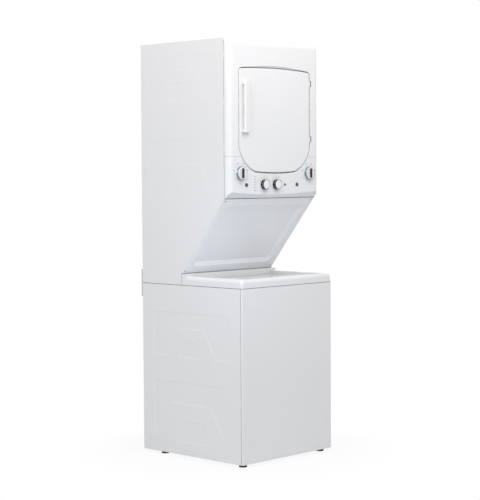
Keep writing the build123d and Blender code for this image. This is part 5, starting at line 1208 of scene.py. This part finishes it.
# the terminal box's cord bush, and the screws of the box and of the stacking brackets
terminal = {
    "left": 0.165,
    "right": 0.235,
    "level": 1.080,
    "face": 0.331,
    "screw": 0.008,
    "cord": (0.200, 0.315, 1.010),
    "hole": 0.0110,
    "bush": (
        (-0.0030, 0.0020),
        (-0.0030, -0.0040),
        (-0.0010, -0.0052),
        (0.0022, -0.0046),
        (0.0026, -0.0003),
        (-0.0003, -0.0003),
        (-0.0003, 0.0020),
        (-0.0030, 0.0020),
    ),
    "steps": 40,
}
bracketScrews = {"half": 0.270, "levels": (0.757, 0.842), "face": 0.310, "screw": 0.010}
bush = collar(terminal["hole"], terminal["bush"], terminal["steps"])
shapes = [(bush, Matrix.Translation(terminal["cord"]))]
makePiece("cordBush", gather(shapes), finishes["black_rubber"], "cabinet")
fixings = []
for x in (terminal["left"], terminal["right"]):
    place = facing((x, terminal["face"], terminal["level"]), backward)
    fixings.append((hexScrew(terminal["screw"]), place))
for x in (-bracketScrews["half"], bracketScrews["half"]):
    for z in bracketScrews["levels"]:
        place = facing((x, bracketScrews["face"], z), backward)
        fixings.append((hexScrew(bracketScrews["screw"]), place))
makePiece("rearFixings", gather(fixings), finishes["screw_zinc"], "cabinet")
print("rear fixings:", len(fixings))

# painted shade: dark strips put in the open seams between the washer's walls, its deck and the dryer's
# foot, and a dark bead under the control panel, standing in for the shade in these gaps
seamShade = {
    "inset": 0.0003,
    "thick": 0.0006,
    "room": 0.00005,
    "corner": 0.0060,
    "bend": 8,
    "seam": 0.0018,
    "bead": 0.0020,
    "beadEnd": 0.0040,
    "beadRound": 0.3,  # share of the bead
    "footBand": 0.0010,  # points this near an edge belong to it
    "creaseBand": 0.0005,
}


def shadeStrip(path, low, high):
    # path holds each point of the seam in X and Y, with the way that it faces
    bm = bmesh.new()
    edges = []
    for depth in (0.0, seamShade["thick"]):
        line = [bm.verts.new((x - outX * depth, y - outY * depth, low)) for x, y, outX, outY in path]
        edges += [bm.edges.new(pair) for pair in zip(line, line[1:])]
    ribbon = bmesh.ops.bridge_loops(bm, edges=edges)["faces"]
    raised = bmesh.ops.extrude_face_region(bm, geom=ribbon)["geom"]
    tops = [item for item in raised if isinstance(item, bmesh.types.BMVert)]
    bmesh.ops.translate(bm, vec=(0, 0, high - low), verts=tops)
    bmesh.ops.recalc_face_normals(bm, faces=bm.faces)
    return bm


def deckPath(half, front, back):
    # down the left wall, round the two front corners and back up the right wall
    face = half - seamShade["inset"]
    turn = seamShade["corner"]
    reach = turn - seamShade["inset"]
    path = [(-face, back, -1, 0)]
    for middle, start in ((turn - half, math.pi), (half - turn, 1.5 * math.pi)):
        for step in range(seamShade["bend"] + 1):
            angle = start + step * math.pi / 2 / seamShade["bend"]
            outX, outY = math.cos(angle), math.sin(angle)
            path.append((middle + outX * reach, front + turn + outY * reach, outX, outY))
    path.append((face, back, 1, 0))
    return path


wallLow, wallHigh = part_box("washer_side_left")
cabinetHalf = -wallLow.x
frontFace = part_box("washer_front_panel")[0].y
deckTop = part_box("washer_deck")[1].z
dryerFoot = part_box("dryer_side_left")[0].z
dryerPoints = [vert.co for vert in nodes["dryer_side_left"].data.vertices]
footFront = min(point.y for point in dryerPoints if point.z < dryerFoot + seamShade["footBand"])
deckSeam = deckPath(cabinetHalf, frontFace, wallHigh.y)
strips = [shadeStrip(deckSeam, wallHigh.z + seamShade["room"], dryerFoot - seamShade["room"])]
for side in (-1, 1):
    face = side * (cabinetHalf - seamShade["inset"])
    for back, low, high in ((footFront, dryerFoot, deckTop), (wallLow.y, wallLow.z, wallHigh.z)):
        ends = (back - seamShade["seam"] + seamShade["room"], back - seamShade["room"])
        strips.append(shadeStrip([(face, y, side, 0) for y in ends], low, high))
shapes = [(strip, Matrix.Identity(4)) for strip in strips]
panelPoints = [vert.co for vert in nodes["control_panel"].data.vertices]
creaseLevel = min(point.z for point in panelPoints)
creaseDepth = min(point.y for point in panelPoints if point.z < creaseLevel + seamShade["creaseBand"])
# the dark bead is painted shade for the line under the control panel
beadSize = (2 * (cabinetHalf - seamShade["beadEnd"]), seamShade["bead"], seamShade["bead"])
bead = roundedBlock(beadSize, seamShade["bead"] * seamShade["beadRound"], 3)
shapes.append((bead, Matrix.Translation((0, creaseDepth, creaseLevel))))
makePiece("seamShadeStrips", gather(shapes), finishes["black_rubber"], "cabinet")
print("shadeStrips:", len(shapes))
